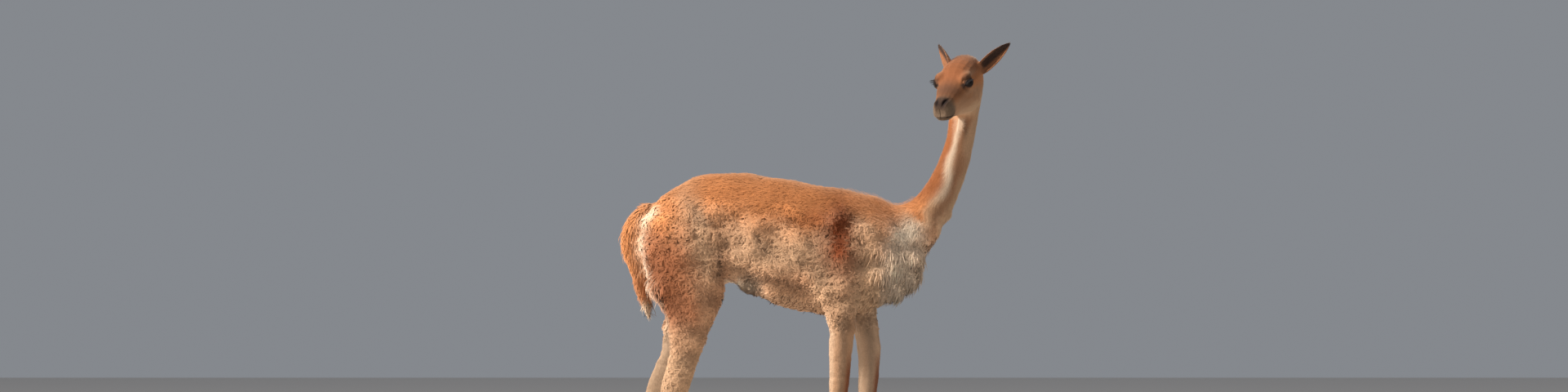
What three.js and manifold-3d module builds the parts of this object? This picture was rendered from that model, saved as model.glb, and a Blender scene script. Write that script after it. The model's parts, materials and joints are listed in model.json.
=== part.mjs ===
// A standing vicuna at life size, head turned back over its right shoulder.
// Millimetres, +X along the body towards the chest, +Y to the animal's left, +Z up.
// The outline is that of the coat's tips. The flesh is modelled whole, as lofts that join, and is then
// parted by thin cuts into head, neck, trunk, legs and feet. Ears, eyes, tail and nails sit in pockets.

import * as THREE from "three";
import { mergeVertices } from "three/addons/utils/BufferGeometryUtils.js";
import Module from "manifold-3d";

const wasm = await Module();
wasm.setup();

// Driving dimensions.
const GAP = 0.36; // clearance between neighbouring pieces
const CORE_HALF_WIDTH = 34; // the trunk's core between the left and right legs
const FOOT_CUT_HEIGHT = 84; // where a leg ends and its foot begins
const FORE_STEP = 86; // how far the left forefoot stands ahead of the right one
const HIND_STEP = -46; // how far the left hind foot stands behind the right one
const HEAD_PLACE = new THREE.Vector3(434, -30, 1237); // between the ears' roots
const HEAD_TURN = 117; // degrees, to the animal's right
const HEAD_NOD = 21; // degrees, nose down
const EYE_RADIUS = 17;
const EYE_SIDES = 12;
const EYE_PLACE = { ahead: 98, out: 45, up: -26 };
const EAR_ROOT = { ahead: -2, out: 48, up: -16 };
const EAR_LENGTH = 112;
const EAR_HALF_WIDTH = 19.5;
const EAR_THICKNESS = 5;
const EAR_SUNK = 14; // how deep its root sits in the head
const EAR_TIP_THINNING = 0.45; // share of its thickness that an ear loses towards the tip
const TOE_SPREAD = 12; // from a foot's middle to the middle of each toe

// How squarely each part's rings are rounded; 2 is an ellipse.
const ROUNDNESS = { trunk: 2.2, crown: 2.2, leg: 2.1, toe: 2.1 };

// Sides round each part and steps along it.
const FACETS = {
  trunk: { sides: 20, steps: 18 },
  neck: { sides: 16, steps: 16 },
  leg: { sides: 10, steps: 16 },
  toe: { sides: 8, steps: 5 },
  nail: { sides: 8, steps: 3 },
  head: { sides: 18, steps: 16 },
  tail: { sides: 12, steps: 12 },
};
const MERGE_DISTANCE = 1e-4;

const UP = new THREE.Vector3(0, 0, 1);
const ACROSS = new THREE.Vector3(0, 1, 0);
const ALONG = new THREE.Vector3(1, 0, 0);

// Ring of points in the plane of two directions: an ellipse at power 2, squarer above it.
// Rise and drop are the half heights above and below the widest level.
function ring(centre, side, up, halfWidth, rise, drop, count, power = 2, lowerPower = power) {
  return Array.from({ length: count }, (_, k) => {
    const angle = (2 * Math.PI * k) / count;
    const bend = 2 / (Math.sin(angle) >= 0 ? power : lowerPower);
    const out = Math.sign(Math.cos(angle)) * Math.abs(Math.cos(angle)) ** bend;
    const high = Math.sign(Math.sin(angle)) * Math.abs(Math.sin(angle)) ** bend;
    return centre
      .clone()
      .addScaledVector(side, halfWidth * out)
      .addScaledVector(up, high > 0 ? rise * high : drop * high);
  });
}

// Rings between the given ones, on a smooth curve through each ring's like points.
function refine(rings, steps) {
  const rails = rings[0].map((_, k) => new THREE.CatmullRomCurve3(rings.map((points) => points[k])));
  return Array.from({ length: steps + 1 }, (_, s) => rails.map((rail) => rail.getPoint(s / steps)));
}

// Closed solid through a row of rings, with a fan at each end.
function loft(rings) {
  const count = rings[0].length;
  const points = rings.flat();
  const index = [];
  rings.slice(1).forEach((_, r) => {
    for (let k = 0; k < count; k += 1) {
      const a = r * count + k;
      const b = r * count + ((k + 1) % count);
      index.push(a, b, b + count, a, b + count, a + count);
    }
  });
  [0, rings.length - 1].forEach((r) => {
    const middle = new THREE.Vector3();
    rings[r].forEach((point) => middle.addScaledVector(point, 1 / count));
    points.push(middle);
    for (let k = 0; k < count; k += 1) {
      const edge = [r * count + k, r * count + ((k + 1) % count)];
      if (r === 0) edge.reverse();
      index.push(...edge, points.length - 1);
    }
  });
  const geometry = new THREE.BufferGeometry().setFromPoints(points);
  geometry.setIndex(index);
  return geometry;
}

// Six times the signed volume, which is negative where the faces point inwards.
function signedVolume(positions, index) {
  const corner = (k) => new THREE.Vector3().fromArray(positions, index[k] * 3);
  let sum = 0;
  for (let t = 0; t < index.length; t += 3) {
    sum += corner(t).dot(corner(t + 1).cross(corner(t + 2)));
  }
  return sum;
}

// Geometry as a solid that can be joined and cut.
function solid(geometry) {
  const bare = geometry.clone();
  bare.deleteAttribute("normal");
  bare.deleteAttribute("uv");
  const merged = mergeVertices(bare, MERGE_DISTANCE);
  const vertProperties = Float32Array.from(merged.attributes.position.array);
  const triVerts = Uint32Array.from(merged.index.array);
  if (signedVolume(vertProperties, triVerts) < 0) triVerts.reverse();
  return new wasm.Manifold(new wasm.Mesh({ numProp: 3, vertProperties, triVerts }));
}

// Solid back to geometry.
function shape(body) {
  const mesh = body.getMesh();
  const geometry = new THREE.BufferGeometry();
  geometry.setAttribute("position", new THREE.Float32BufferAttribute(mesh.vertProperties, 3));
  geometry.setIndex(Array.from(mesh.triVerts));
  return geometry;
}

const join = (bodies) => bodies.reduce((sum, body) => sum.add(body));
const keepAbove = (body, normal, place) => body.trimByPlane(normal.toArray(), normal.dot(place));
const keepBelow = (body, normal, place) => keepAbove(body, normal.clone().negate(), place);

// Trunk from rump to chest: upright rings along X.
const TRUNK = [
  { x: -521, top: 748, wide: 714, bottom: 678, half: 20 },
  { x: -509, top: 786, wide: 716, bottom: 640, half: 60 },
  { x: -485, top: 820, wide: 718, bottom: 606, half: 92 },
  { x: -445, top: 858, wide: 715, bottom: 580, half: 115 },
  { x: -385, top: 900, wide: 706, bottom: 574, half: 130 },
  { x: -325, top: 923, wide: 700, bottom: 584, half: 134 },
  { x: -260, top: 928, wide: 694, bottom: 603, half: 133 },
  { x: -195, top: 925, wide: 688, bottom: 566, half: 134 },
  { x: -120, top: 914, wide: 680, bottom: 527, half: 135 },
  { x: -30, top: 898, wide: 675, bottom: 507, half: 132 },
  { x: 60, top: 882, wide: 672, bottom: 500, half: 126 },
  { x: 140, top: 869, wide: 672, bottom: 504, half: 118 },
  { x: 200, top: 849, wide: 674, bottom: 519, half: 108 },
  { x: 250, top: 824, wide: 676, bottom: 541, half: 93 },
  { x: 290, top: 795, wide: 680, bottom: 568, half: 73 },
  { x: 317, top: 754, wide: 686, bottom: 612, half: 48 },
  { x: 331, top: 712, wide: 690, bottom: 662, half: 20 },
];

function trunkSolid() {
  const rings = TRUNK.map(({ x, top, wide, bottom, half }) =>
    ring(
      new THREE.Vector3(x, 0, wide),
      ACROSS,
      UP,
      half,
      top - wide,
      wide - bottom,
      FACETS.trunk.sides,
      ROUNDNESS.trunk
    )
  );
  return solid(loft(refine(rings, FACETS.trunk.steps)));
}

// Neck: each ring runs from a point on the nape to one on the throat, as seen from the side.
const NECK = [
  { nape: [150, 800], throat: [262, 620], half: 84, y: 0 },
  { nape: [204, 838], throat: [318, 668], half: 78, y: 0 },
  { nape: [246, 834], throat: [352, 712], half: 68, y: 0 },
  { nape: [280, 846], throat: [386, 770], half: 59, y: 0 },
  { nape: [315, 887], throat: [412, 832], half: 52, y: 0 },
  { nape: [343, 934], throat: [435, 896], half: 48, y: 0 },
  { nape: [361, 979], throat: [453, 948], half: 46, y: 1 },
  { nape: [376, 1025], throat: [465, 1004], half: 45, y: 2 },
  { nape: [386, 1074], throat: [476, 1062], half: 45, y: 2 },
  { nape: [389, 1120], throat: [484, 1114], half: 45, y: 1 },
  { nape: [397, 1165], throat: [489, 1160], half: 43, y: -2 },
  { nape: [408, 1205], throat: [484, 1202], half: 36, y: -6 },
  { nape: [424, 1230], throat: [466, 1229], half: 20, y: -10 },
];

function neckSolid() {
  const rings = NECK.map(({ nape, throat, half, y }) => {
    const back = new THREE.Vector3(nape[0], y, nape[1]);
    const front = new THREE.Vector3(throat[0], y, throat[1]);
    const depth = back.distanceTo(front) / 2;
    const forward = front.clone().sub(back).normalize();
    return ring(back.lerp(front, 0.5), ACROSS, forward, half, depth, depth, FACETS.neck.sides);
  });
  return solid(loft(refine(rings, FACETS.neck.steps)));
}

// Legs: level rings, each with its back and front edge seen from the side.
const FORELEG = [
  { z: 800, back: 74, front: 158, y: 50, half: 30 },
  { z: 750, back: 34, front: 168, y: 68, half: 48 },
  { z: 690, back: 12, front: 168, y: 78, half: 55 },
  { z: 620, back: 0, front: 154, y: 79, half: 55 },
  { z: 565, back: 0, front: 138, y: 78, half: 50 },
  { z: 526, back: 18, front: 124, y: 75, half: 42 },
  { z: 474, back: 37, front: 117, y: 74, half: 36 },
  { z: 427, back: 34, front: 113, y: 73, half: 33 },
  { z: 379, back: 36, front: 107, y: 73, half: 30 },
  { z: 329, back: 36, front: 103, y: 72, half: 28.5 },
  { z: 290, back: 35, front: 98, y: 72, half: 27.5 },
  { z: 255, back: 40, front: 91, y: 72, half: 24.5 },
  { z: 215, back: 43, front: 84, y: 72, half: 20 },
  { z: 150, back: 44, front: 82, y: 72, half: 18.5 },
  { z: 108, back: 42, front: 84, y: 72, half: 20.5 },
  { z: 82, back: 39, front: 91, y: 72, half: 24.5 },
  { z: 58, back: 52, front: 80, y: 72, half: 15 },
];

const HINDLEG = [
  { z: 850, back: -410, front: -300, y: 58, half: 34 },
  { z: 800, back: -448, front: -278, y: 74, half: 50 },
  { z: 745, back: -482, front: -266, y: 82, half: 57 },
  { z: 690, back: -503, front: -261, y: 85, half: 58 },
  { z: 635, back: -502, front: -258, y: 85, half: 57 },
  { z: 588, back: -481, front: -258, y: 85, half: 54 },
  { z: 545, back: -444, front: -263, y: 84, half: 50 },
  { z: 510, back: -431, front: -281, y: 83, half: 46 },
  { z: 469, back: -430, front: -296, y: 82, half: 42 },
  { z: 424, back: -423, front: -311, y: 80, half: 37 },
  { z: 391, back: -427, front: -326, y: 79, half: 34 },
  { z: 346, back: -440, front: -344, y: 78, half: 31 },
  { z: 305, back: -450, front: -356, y: 77, half: 29.5 },
  { z: 268, back: -455, front: -370, y: 77, half: 28 },
  { z: 236, back: -450, front: -388, y: 77, half: 24 },
  { z: 200, back: -446, front: -400, y: 77, half: 20.5 },
  { z: 148, back: -443, front: -402, y: 77, half: 19 },
  { z: 108, back: -444, front: -399, y: 77, half: 21 },
  { z: 82, back: -446, front: -391, y: 77, half: 25 },
  { z: 58, back: -434, front: -404, y: 77, half: 15 },
];

// Which way a leg stands out, and how its stride moves it along X between the two heights
// where its swing begins and is complete.
const LEGS = [
  { name: "foreleg_right", rows: FORELEG, side: -1, step: 0, swing: 730, landed: 410 },
  { name: "foreleg_left", rows: FORELEG, side: 1, step: FORE_STEP, swing: 730, landed: 410 },
  { name: "hindleg_right", rows: HINDLEG, side: -1, step: 0, swing: 600, landed: 290 },
  { name: "hindleg_left", rows: HINDLEG, side: 1, step: HIND_STEP, swing: 600, landed: 290 },
];

function legSolid({ rows, side, step, swing, landed }) {
  const rings = rows.map(({ z, back, front, y, half }) => {
    const stride = step * THREE.MathUtils.clamp((swing - z) / (swing - landed), 0, 1);
    const centre = new THREE.Vector3((back + front) / 2 + stride, side * y, z);
    const reach = (front - back) / 2;
    return ring(centre, ACROSS, ALONG, half, reach, reach, FACETS.leg.sides, ROUNDNESS.leg);
  });
  return solid(loft(refine(rings, FACETS.leg.steps)));
}

// A toe with its pad: upright rings along X from the heel of the pad to the tip.
const TOE = [
  { x: -27, top: 44, wide: 28, bottom: 14, half: 5 },
  { x: -18, top: 66, wide: 26, bottom: -1, half: 11 },
  { x: 0, top: 86, wide: 24, bottom: -5, half: 14 },
  { x: 18, top: 68, wide: 22, bottom: -5, half: 13.4 },
  { x: 36, top: 46, wide: 18, bottom: -5, half: 11 },
  { x: 52, top: 31, wide: 14, bottom: -3, half: 10 },
  { x: 64, top: 19, wide: 10, bottom: 0.5, half: 7.6 },
  { x: 70, top: 12, wide: 8, bottom: 4, half: 4 },
];

// A toe's nail, which caps the tip above the pad.
const NAIL = [
  { x: 47, top: 31, wide: 22, bottom: 15, half: 5.5 },
  { x: 56, top: 29, wide: 17, bottom: 9, half: 7 },
  { x: 68, top: 19.5, wide: 10, bottom: 4.5, half: 5.6 },
  { x: 79, top: 8, wide: 4.5, bottom: 2, half: 2 },
];

// A toe or a nail at its place; grow swells it on every side, for the pocket it sits in.
function toePiece(rows, place, { sides, steps }, grow = 0) {
  const rings = rows.map(({ x, top, wide, bottom, half }) => {
    const centre = new THREE.Vector3(x, 0, wide).add(place);
    const rise = top - wide + grow;
    const drop = wide - bottom + grow;
    return ring(centre, ACROSS, UP, half + grow, rise, drop, sides, ROUNDNESS.toe);
  });
  rings[0].forEach((point) => point.addScaledVector(ALONG, -grow));
  rings[rings.length - 1].forEach((point) => point.addScaledVector(ALONG, grow));
  return solid(loft(refine(rings, steps)));
}

function toePlaces({ rows, side, step }) {
  const last = rows[rows.length - 2];
  const middle = new THREE.Vector3((last.back + last.front) / 2 + step, side * last.y, 0);
  return [1, -1].map((hand) => middle.clone().addScaledVector(ACROSS, hand * side * TOE_SPREAD));
}

// Head frame: ahead to the nose, out to the animal's left, up through the crown.
const turn = new THREE.Matrix4()
  .makeTranslation(HEAD_PLACE)
  .multiply(new THREE.Matrix4().makeRotationZ(THREE.MathUtils.degToRad(-HEAD_TURN)))
  .multiply(new THREE.Matrix4().makeRotationY(THREE.MathUtils.degToRad(HEAD_NOD)));
const inHead = (ahead, out, up) => new THREE.Vector3(ahead, out, up).applyMatrix4(turn);
const headWay = (ahead, out, up) => new THREE.Vector3(ahead, out, up).transformDirection(turn);

// Head: upright rings along its own length d, from the poll to the nose; jaw rounds their lower half.
const HEAD = [
  { d: -43, top: -8, wide: -26, bottom: -44, half: 18, jaw: 2 },
  { d: -31, top: 8, wide: -26, bottom: -74, half: 38, jaw: 2.1 },
  { d: -8, top: 22, wide: -28, bottom: -108, half: 51, jaw: 2.4 },
  { d: 18, top: 27, wide: -28, bottom: -124, half: 56, jaw: 2.8 },
  { d: 48, top: 27, wide: -30, bottom: -134, half: 58, jaw: 2.9 },
  { d: 76, top: 20, wide: -30, bottom: -132, half: 57, jaw: 2.9 },
  { d: 100, top: 6, wide: -32, bottom: -126, half: 53, jaw: 2.7 },
  { d: 122, top: -10, wide: -46, bottom: -120, half: 47, jaw: 2.5 },
  { d: 146, top: -24, wide: -62, bottom: -114, half: 39, jaw: 2.4 },
  { d: 170, top: -35, wide: -74, bottom: -110, half: 32.5, jaw: 2.3 },
  { d: 188, top: -42, wide: -80, bottom: -109, half: 31, jaw: 2.3 },
  { d: 202, top: -49, wide: -80, bottom: -105, half: 27, jaw: 2.2 },
  { d: 211, top: -62, wide: -79, bottom: -95, half: 17, jaw: 2 },
];

// Rounded swellings on the skull: brow ridges over the eyes, the cheeks' chewing muscle, and the
// wings of the nostrils.
const SWELLINGS = [
  { ahead: 91, out: 39, up: -8, size: [31, 21, 14] },
  { ahead: 60, out: 34, up: -76, size: [44, 25, 40] },
  { ahead: 184, out: 12.5, up: -62, size: [21, 14, 15] },
];

const SWELLING_SIDES = 8;
const BALL_ROWS = 0.6; // rows from pole to pole for each side round

function ball(centre, size, segments = SWELLING_SIDES) {
  const geometry = new THREE.SphereGeometry(1, segments, Math.round(segments * BALL_ROWS));
  geometry.rotateX(Math.PI / 2);
  geometry.scale(...size);
  geometry.translate(centre.ahead, centre.out, centre.up);
  return solid(geometry.applyMatrix4(turn));
}

function headSolid() {
  const rings = HEAD.map(({ d, top, wide, bottom, half, jaw }) =>
    ring(
      inHead(d, 0, wide),
      headWay(0, 1, 0),
      headWay(0, 0, 1),
      half,
      top - wide,
      wide - bottom,
      FACETS.head.sides,
      ROUNDNESS.crown,
      jaw
    )
  );
  const swellings = SWELLINGS.flatMap(({ ahead, out, up, size }) =>
    [1, -1].map((side) => ball({ ahead, out: side * out, up }, size))
  );
  return join([solid(loft(refine(rings, FACETS.head.steps))), ...swellings]);
}

function eyeSolid(side, grow = 0) {
  const size = EYE_RADIUS + grow;
  return ball({ ...EYE_PLACE, out: side * EYE_PLACE.out }, [size, size, size], EYE_SIDES);
}

// Ear: a cupped leaf. Each ring is a crescent, its hollow turned forward and out.
const EAR_ROWS = 8;
const EAR_ARC_POINTS = 6;
const EAR_AXIS = { ahead: -71, out: 63, up: 46 }; // the way its tip points
const EAR_FACING = { ahead: 1, out: 0.42, up: 0.05 }; // the way its hollow looks
const EAR_CURL = { root: 1.75, tip: 0.75 }; // half angle of the crescent's arc, in radians
const EAR_BOW = 7; // how far it curves in towards its tip
const EAR_LEAST_RADIUS = 2.6;

// Width of an ear at t of its length, as a share of its widest: a leaf with a blunt tip.
const leafWidth = (t) => Math.sin(Math.PI * Math.min(1, 0.23 + 0.76 * t)) ** 0.62;

function earSolid(side, grow = 0) {
  const axis = new THREE.Vector3(EAR_AXIS.ahead, side * EAR_AXIS.out, EAR_AXIS.up).normalize();
  const facing = new THREE.Vector3(EAR_FACING.ahead, side * EAR_FACING.out, EAR_FACING.up);
  facing.addScaledVector(axis, -facing.dot(axis)).normalize();
  const span = new THREE.Vector3().crossVectors(facing, axis);
  const root = new THREE.Vector3(EAR_ROOT.ahead, side * EAR_ROOT.out, EAR_ROOT.up);
  const rings = Array.from({ length: EAR_ROWS }, (_, r) => {
    const t = r / (EAR_ROWS - 1);
    const along = THREE.MathUtils.lerp(-EAR_SUNK - grow, EAR_LENGTH + grow, t);
    const curl = THREE.MathUtils.lerp(EAR_CURL.root, EAR_CURL.tip, t);
    const bow = EAR_BOW * Math.sin(Math.PI * t) * (1 - t);
    const halfWidth = Math.max(EAR_HALF_WIDTH * leafWidth(t), EAR_LEAST_RADIUS);
    const radius = halfWidth / Math.sin(Math.min(curl, Math.PI / 2));
    const sweep = curl + grow / radius;
    const wall = (EAR_THICKNESS * (1 - EAR_TIP_THINNING * t)) / 2 + grow;
    const arc = (reach, angle) =>
      root
        .clone()
        .addScaledVector(axis, along)
        .addScaledVector(span, reach * Math.sin(angle))
        .addScaledVector(facing, radius * 0.8 - reach * Math.cos(angle) - bow);
    const share = (k) => (2 * k) / (EAR_ARC_POINTS - 1) - 1;
    const angles = Array.from({ length: EAR_ARC_POINTS }, (__, k) => sweep * share(k));
    return [
      ...angles.map((angle) => arc(radius + wall, angle)),
      ...angles.reverse().map((angle) => arc(radius - wall, angle)),
    ];
  });
  return solid(loft(rings).applyMatrix4(turn));
}

// Tail: hangs close behind the rump; level rings with back and front edge seen from the side.
const TAIL = [
  { z: 838, back: -490, front: -452, half: 22 },
  { z: 812, back: -526, front: -462, half: 30 },
  { z: 780, back: -553, front: -488, half: 34 },
  { z: 735, back: -566, front: -508, half: 36 },
  { z: 690, back: -563, front: -510, half: 37 },
  { z: 640, back: -543, front: -496, half: 37 },
  { z: 595, back: -531, front: -482, half: 34 },
  { z: 557, back: -517, front: -474, half: 28 },
  { z: 528, back: -502, front: -472, half: 19 },
  { z: 506, back: -492, front: -478, half: 7 },
];

function tailSolid(grow = 0) {
  const rings = TAIL.map(({ z, back, front, half }) => {
    const reach = (front - back) / 2 + grow;
    const centre = new THREE.Vector3((back + front) / 2, 0, z);
    return ring(centre, ACROSS, ALONG, half + grow, reach, reach, FACETS.tail.sides);
  });
  rings[0].forEach((point) => point.addScaledVector(UP, grow));
  rings[rings.length - 1].forEach((point) => point.addScaledVector(UP, -grow));
  return solid(loft(refine(rings, FACETS.tail.steps)));
}

// Arches that part each leg from the trunk: an upright strip with a round top, out from the core.
const ARCHES = {
  foreleg_right: { from: -8, to: 186, spring: 690, crown: 812 },
  foreleg_left: { from: -8, to: 262, spring: 690, crown: 812 },
  hindleg_right: { from: -640, to: -256, spring: 640, crown: 856 },
  hindleg_left: { from: -640, to: -256, spring: 640, crown: 856 },
};
const ARCH_REACH = 260; // out past the widest leg
const ARCH_FOOT = -20; // down past the soles
const ARCH_CURVE_STEPS = 8;

function archSolid({ name, side }, grow = 0) {
  const { from, to, spring, crown } = ARCHES[name];
  const outline = new THREE.Shape();
  outline.moveTo(from - grow, ARCH_FOOT);
  outline.lineTo(to + grow, ARCH_FOOT);
  outline.lineTo(to + grow, spring);
  const span = (to - from) / 2 + grow;
  outline.absellipse((from + to) / 2, spring, span, crown - spring + grow, 0, Math.PI);
  outline.lineTo(from - grow, ARCH_FOOT);
  const inner = CORE_HALF_WIDTH - grow;
  const depth = ARCH_REACH - inner;
  const settings = { depth, bevelEnabled: false, curveSegments: ARCH_CURVE_STEPS };
  const geometry = new THREE.ExtrudeGeometry(outline, settings);
  geometry.rotateX(Math.PI / 2);
  geometry.translate(0, side > 0 ? ARCH_REACH : -inner, 0);
  return solid(geometry);
}

// Materials, one of its own for each mesh.
const FINISH = {
  coat: { color: 0xb98a60, roughness: 0.95, metalness: 0 },
  head: { color: 0xa8744a, roughness: 0.9, metalness: 0 },
  ear: { color: 0x7d5a41, roughness: 0.9, metalness: 0 },
  shank: { color: 0xc3aa8a, roughness: 0.92, metalness: 0 },
  nail: { color: 0x2c2420, roughness: 0.5, metalness: 0 },
  eye: { color: 0x140d0a, roughness: 0.08, metalness: 0 },
};

function piece(name, body, finish) {
  const mesh = new THREE.Mesh(shape(body), new THREE.MeshStandardMaterial(FINISH[finish]));
  mesh.name = name;
  return mesh;
}

const SIDES = [
  { word: "left", side: 1 },
  { word: "right", side: -1 },
];

// Where the neck is parted from the trunk and from the head.
const neckRoot = new THREE.Vector3(300, 0, 778);
const neckRise = new THREE.Vector3(0.66, 0, 0.75).normalize();
const headRoot = inHead(10, 0, -132);
const headRise = headWay(0.62, 0, 0.78);

const animal = new THREE.Group();

const footSolid = (leg) => join(toePlaces(leg).map((place) => toePiece(TOE, place, FACETS.toe)));
const feet = LEGS.map(footSolid);
const flesh = join([trunkSolid(), neckSolid(), headSolid(), ...LEGS.map(legSolid), ...feet]);
const standing = keepAbove(flesh, UP, new THREE.Vector3(0, 0, 0));

const gapAlong = (normal) => normal.clone().multiplyScalar(GAP / 2);
const belowNeck = keepBelow(standing, neckRise, neckRoot.clone().sub(gapAlong(neckRise)));
const aboveTrunk = keepAbove(standing, neckRise, neckRoot.clone().add(gapAlong(neckRise)));
const neck = keepBelow(aboveTrunk, headRise, headRoot.clone().sub(gapAlong(headRise)));

let head = keepAbove(aboveTrunk, headRise, headRoot.clone().add(gapAlong(headRise)));
SIDES.forEach(({ word, side }) => {
  head = head.subtract(eyeSolid(side, GAP)).subtract(earSolid(side, 2 * GAP));
  animal.add(piece(`eye_${word}`, eyeSolid(side), "eye"));
  animal.add(piece(`ear_${word}`, earSolid(side), "ear"));
});
animal.add(piece("head", head, "head"));
animal.add(piece("neck", neck, "coat"));
animal.add(piece("tail", tailSolid(), "coat"));

const hindquarters = belowNeck.subtract(tailSolid(GAP));
let trunk = hindquarters;
LEGS.forEach((leg) => {
  const limb = hindquarters.intersect(archSolid(leg));
  trunk = trunk.subtract(archSolid(leg, GAP));
  const cut = new THREE.Vector3(0, 0, FOOT_CUT_HEIGHT);
  animal.add(piece(leg.name, keepAbove(limb, UP, cut.clone().add(gapAlong(UP))), "coat"));
  const places = toePlaces(leg);
  let foot = keepBelow(limb, UP, cut.clone().sub(gapAlong(UP)));
  places.forEach((place, k) => {
    foot = foot.subtract(toePiece(NAIL, place, FACETS.nail, GAP));
    const nail = toePiece(NAIL, place, FACETS.nail);
    animal.add(piece(`nail_${leg.name}_${k === 0 ? "outer" : "inner"}`, nail, "nail"));
  });
  animal.add(piece(`foot_${leg.name}`, foot, "shank"));
});
animal.add(piece("trunk", trunk, "coat"));

// The origin is the middle of the bounding box's floor.
const box = new THREE.Box3().setFromObject(animal);
const middle = box.getCenter(new THREE.Vector3());
animal.position.set(-middle.x, -middle.y, -box.min.z);

const vicuna = new THREE.Group();
vicuna.add(animal);

export default vicuna;
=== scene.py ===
import json
import math

import bpy
import numpy as np
from bpy.props import FloatProperty, FloatVectorProperty, IntProperty, PointerProperty
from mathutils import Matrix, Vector
from mathutils.bvhtree import BVHTree
from mathutils.kdtree import KDTree

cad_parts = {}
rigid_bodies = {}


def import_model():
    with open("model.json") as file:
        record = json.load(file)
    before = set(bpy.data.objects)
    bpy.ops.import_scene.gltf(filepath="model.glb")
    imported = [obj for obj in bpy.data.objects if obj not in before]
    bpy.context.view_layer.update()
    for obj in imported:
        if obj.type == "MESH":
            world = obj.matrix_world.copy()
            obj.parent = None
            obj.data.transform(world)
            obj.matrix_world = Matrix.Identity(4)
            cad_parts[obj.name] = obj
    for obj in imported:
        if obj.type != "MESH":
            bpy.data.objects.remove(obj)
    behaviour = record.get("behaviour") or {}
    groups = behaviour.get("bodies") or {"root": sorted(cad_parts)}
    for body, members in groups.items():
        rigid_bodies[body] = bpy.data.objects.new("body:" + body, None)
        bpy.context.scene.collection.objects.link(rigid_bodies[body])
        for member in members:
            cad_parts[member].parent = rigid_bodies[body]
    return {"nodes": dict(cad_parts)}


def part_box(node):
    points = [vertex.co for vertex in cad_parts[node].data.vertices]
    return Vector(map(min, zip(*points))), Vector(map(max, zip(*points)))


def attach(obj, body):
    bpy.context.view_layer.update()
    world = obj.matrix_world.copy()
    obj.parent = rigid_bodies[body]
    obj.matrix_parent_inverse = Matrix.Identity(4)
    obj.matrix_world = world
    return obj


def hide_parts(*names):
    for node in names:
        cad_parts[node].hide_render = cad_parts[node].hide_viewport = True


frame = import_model()

bl_info = {
    "name": "Vicuna",
    "version": (1, 0, 0),
    "blender": (4, 5, 0),
    "location": "View3D > Sidebar > Vicuna",
    "description": "Skin, fleece, eyes and nails of a life-size standing vicuna",
    "category": "Object",
}

# Each side and which way it lies from the head's middle.
SIDES = {"left": 1.0, "right": -1.0}

LEGS = ("foreleg_left", "foreleg_right", "hindleg_left", "hindleg_right")
FEET = tuple("foot_" + leg for leg in LEGS)
EARS = ("ear_left", "ear_right")
EYES = ("eye_left", "eye_right")
FLESH = ("head", "neck", "trunk", "tail") + EARS + LEGS + FEET
NAILS = tuple(f"nail_{leg}_{place}" for leg in LEGS for place in ("outer", "inner"))

# The body's middle plane, and the height of the back line along the body.
MIDDLE_Y = 0.0236
BACK_AT = (-0.57, -0.50, -0.44, -0.38, -0.30, -0.12, 0.0, 0.10, 0.25, 0.36)
BACK_HEIGHT = (0.66, 0.80, 0.865, 0.905, 0.93, 0.905, 0.885, 0.865, 0.83, 0.83)

# How far the face looks down, and places on the head in the head's own frame:
# ahead of the ears' roots, out to the animal's left, and up.
HEAD_NOD = math.radians(21.0)
EYE_PLACE = (0.098, 0.045, -0.026)
NOSTRIL = (0.193, 0.0102, -0.0525)
MOUTH_FRONT = (0.207, -0.0950)
MOUTH_CORNER = (0.175, -0.0900)

# Which way the left ear points, in the head's frame.
EAR_WAY = (-0.071, 0.063, 0.046)

# How strongly the slit of a nostril is bent, over each metre of its length.
SLIT_BEND = 18.0

# An eyeball's radius, and how far from its middle the socket reaches: wholly, and fading out.
EYE_RADIUS = 0.0168
SOCKET = (0.026, 0.040)

# Half the length of the opening between the lids, and how high each lid's edge is and how
# round, on an eye of radius 1.
LID_REACH = 0.80
UPPER_LID = (0.50, 1.15)
LOWER_LID = (0.46, 1.35)

# How far the crease between an eyeball and the flesh round it is filled.
CREASE_FILL = 0.006

# How much of the distance between two curls each of them fills.
CURL_REACH = 0.62

# Seeds of the random draws.
CURL_SEED = 22
FOLD_SEED = 4
CURL_TONE_SEED = 7
LASH_SEED = 71
COAT_SEED = 100
LONG_HAIR_SEED = 400

# Where the skin's tone lies between a tuft's root and its tip, so the skin takes part of the painted
# shade that darkens the roots.
ALONG_ON_SKIN = 0.35

# The least height of the soles, and of the hair, over the floor.
LEAST_HEIGHT = 0.0006
LEAST_HAIR_HEIGHT = 0.0004

# How deep tufts are rooted, how flat they are and how much of the bake they take.
ROOT_DEPTH = 0.0012
FLATNESS = 0.55
BAKE_SIZE = 0.0015

# How far a tuft is lit by its own roundness rather than by the skin it grows on.
SIDE_LIGHT = 0.3

# Lashes of one eye, where they stand along the lid, how far from the eye's middle they are
# rooted and how wide they are.
LASHES = 46
LASHES_ALONG = (-0.66, 0.72)
LASH_ROOTS = 0.0186
LASH_GIRTH = 0.00075

# The dark edge of the iris, and the pupil's tone and half sizes along and across the lids.
EYE_EDGE = (0.009, 0.006, 0.005)
PUPIL_TONE = 0.003
PUPIL = (0.40, 0.20)

# Steps in which the skin's coarseness is stored, and how strongly it counts.
WEIGHT_STEPS = 16
COARSENESS = 4.0

# No piece may have as many triangles as this.
TRIANGLE_LIMIT = 200000

# Where the rings of a tuft stand along it and how wide they are, by the kind of tuft.
RINGS = {
    "hair": ((0.0, 1.0),),
    "lock": ((0.0, 0.85), (0.5, 0.80)),
    "curl": ((0.0, 0.80), (0.60, 1.0)),
    "strand": ((0.0, 0.80), (0.33, 1.0), (0.67, 0.75)),
}


def linear(level):
    """Linear light for a screen level from 0 to 255."""
    part = level / 255.0
    return part / 12.92 if part <= 0.04045 else ((part + 0.055) / 1.055) ** 2.4


def setting_names(settings):
    """The names of a group's own settings."""
    return [key for key in settings.bl_rna.properties.keys() if key not in ("rna_type", "name")]


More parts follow.
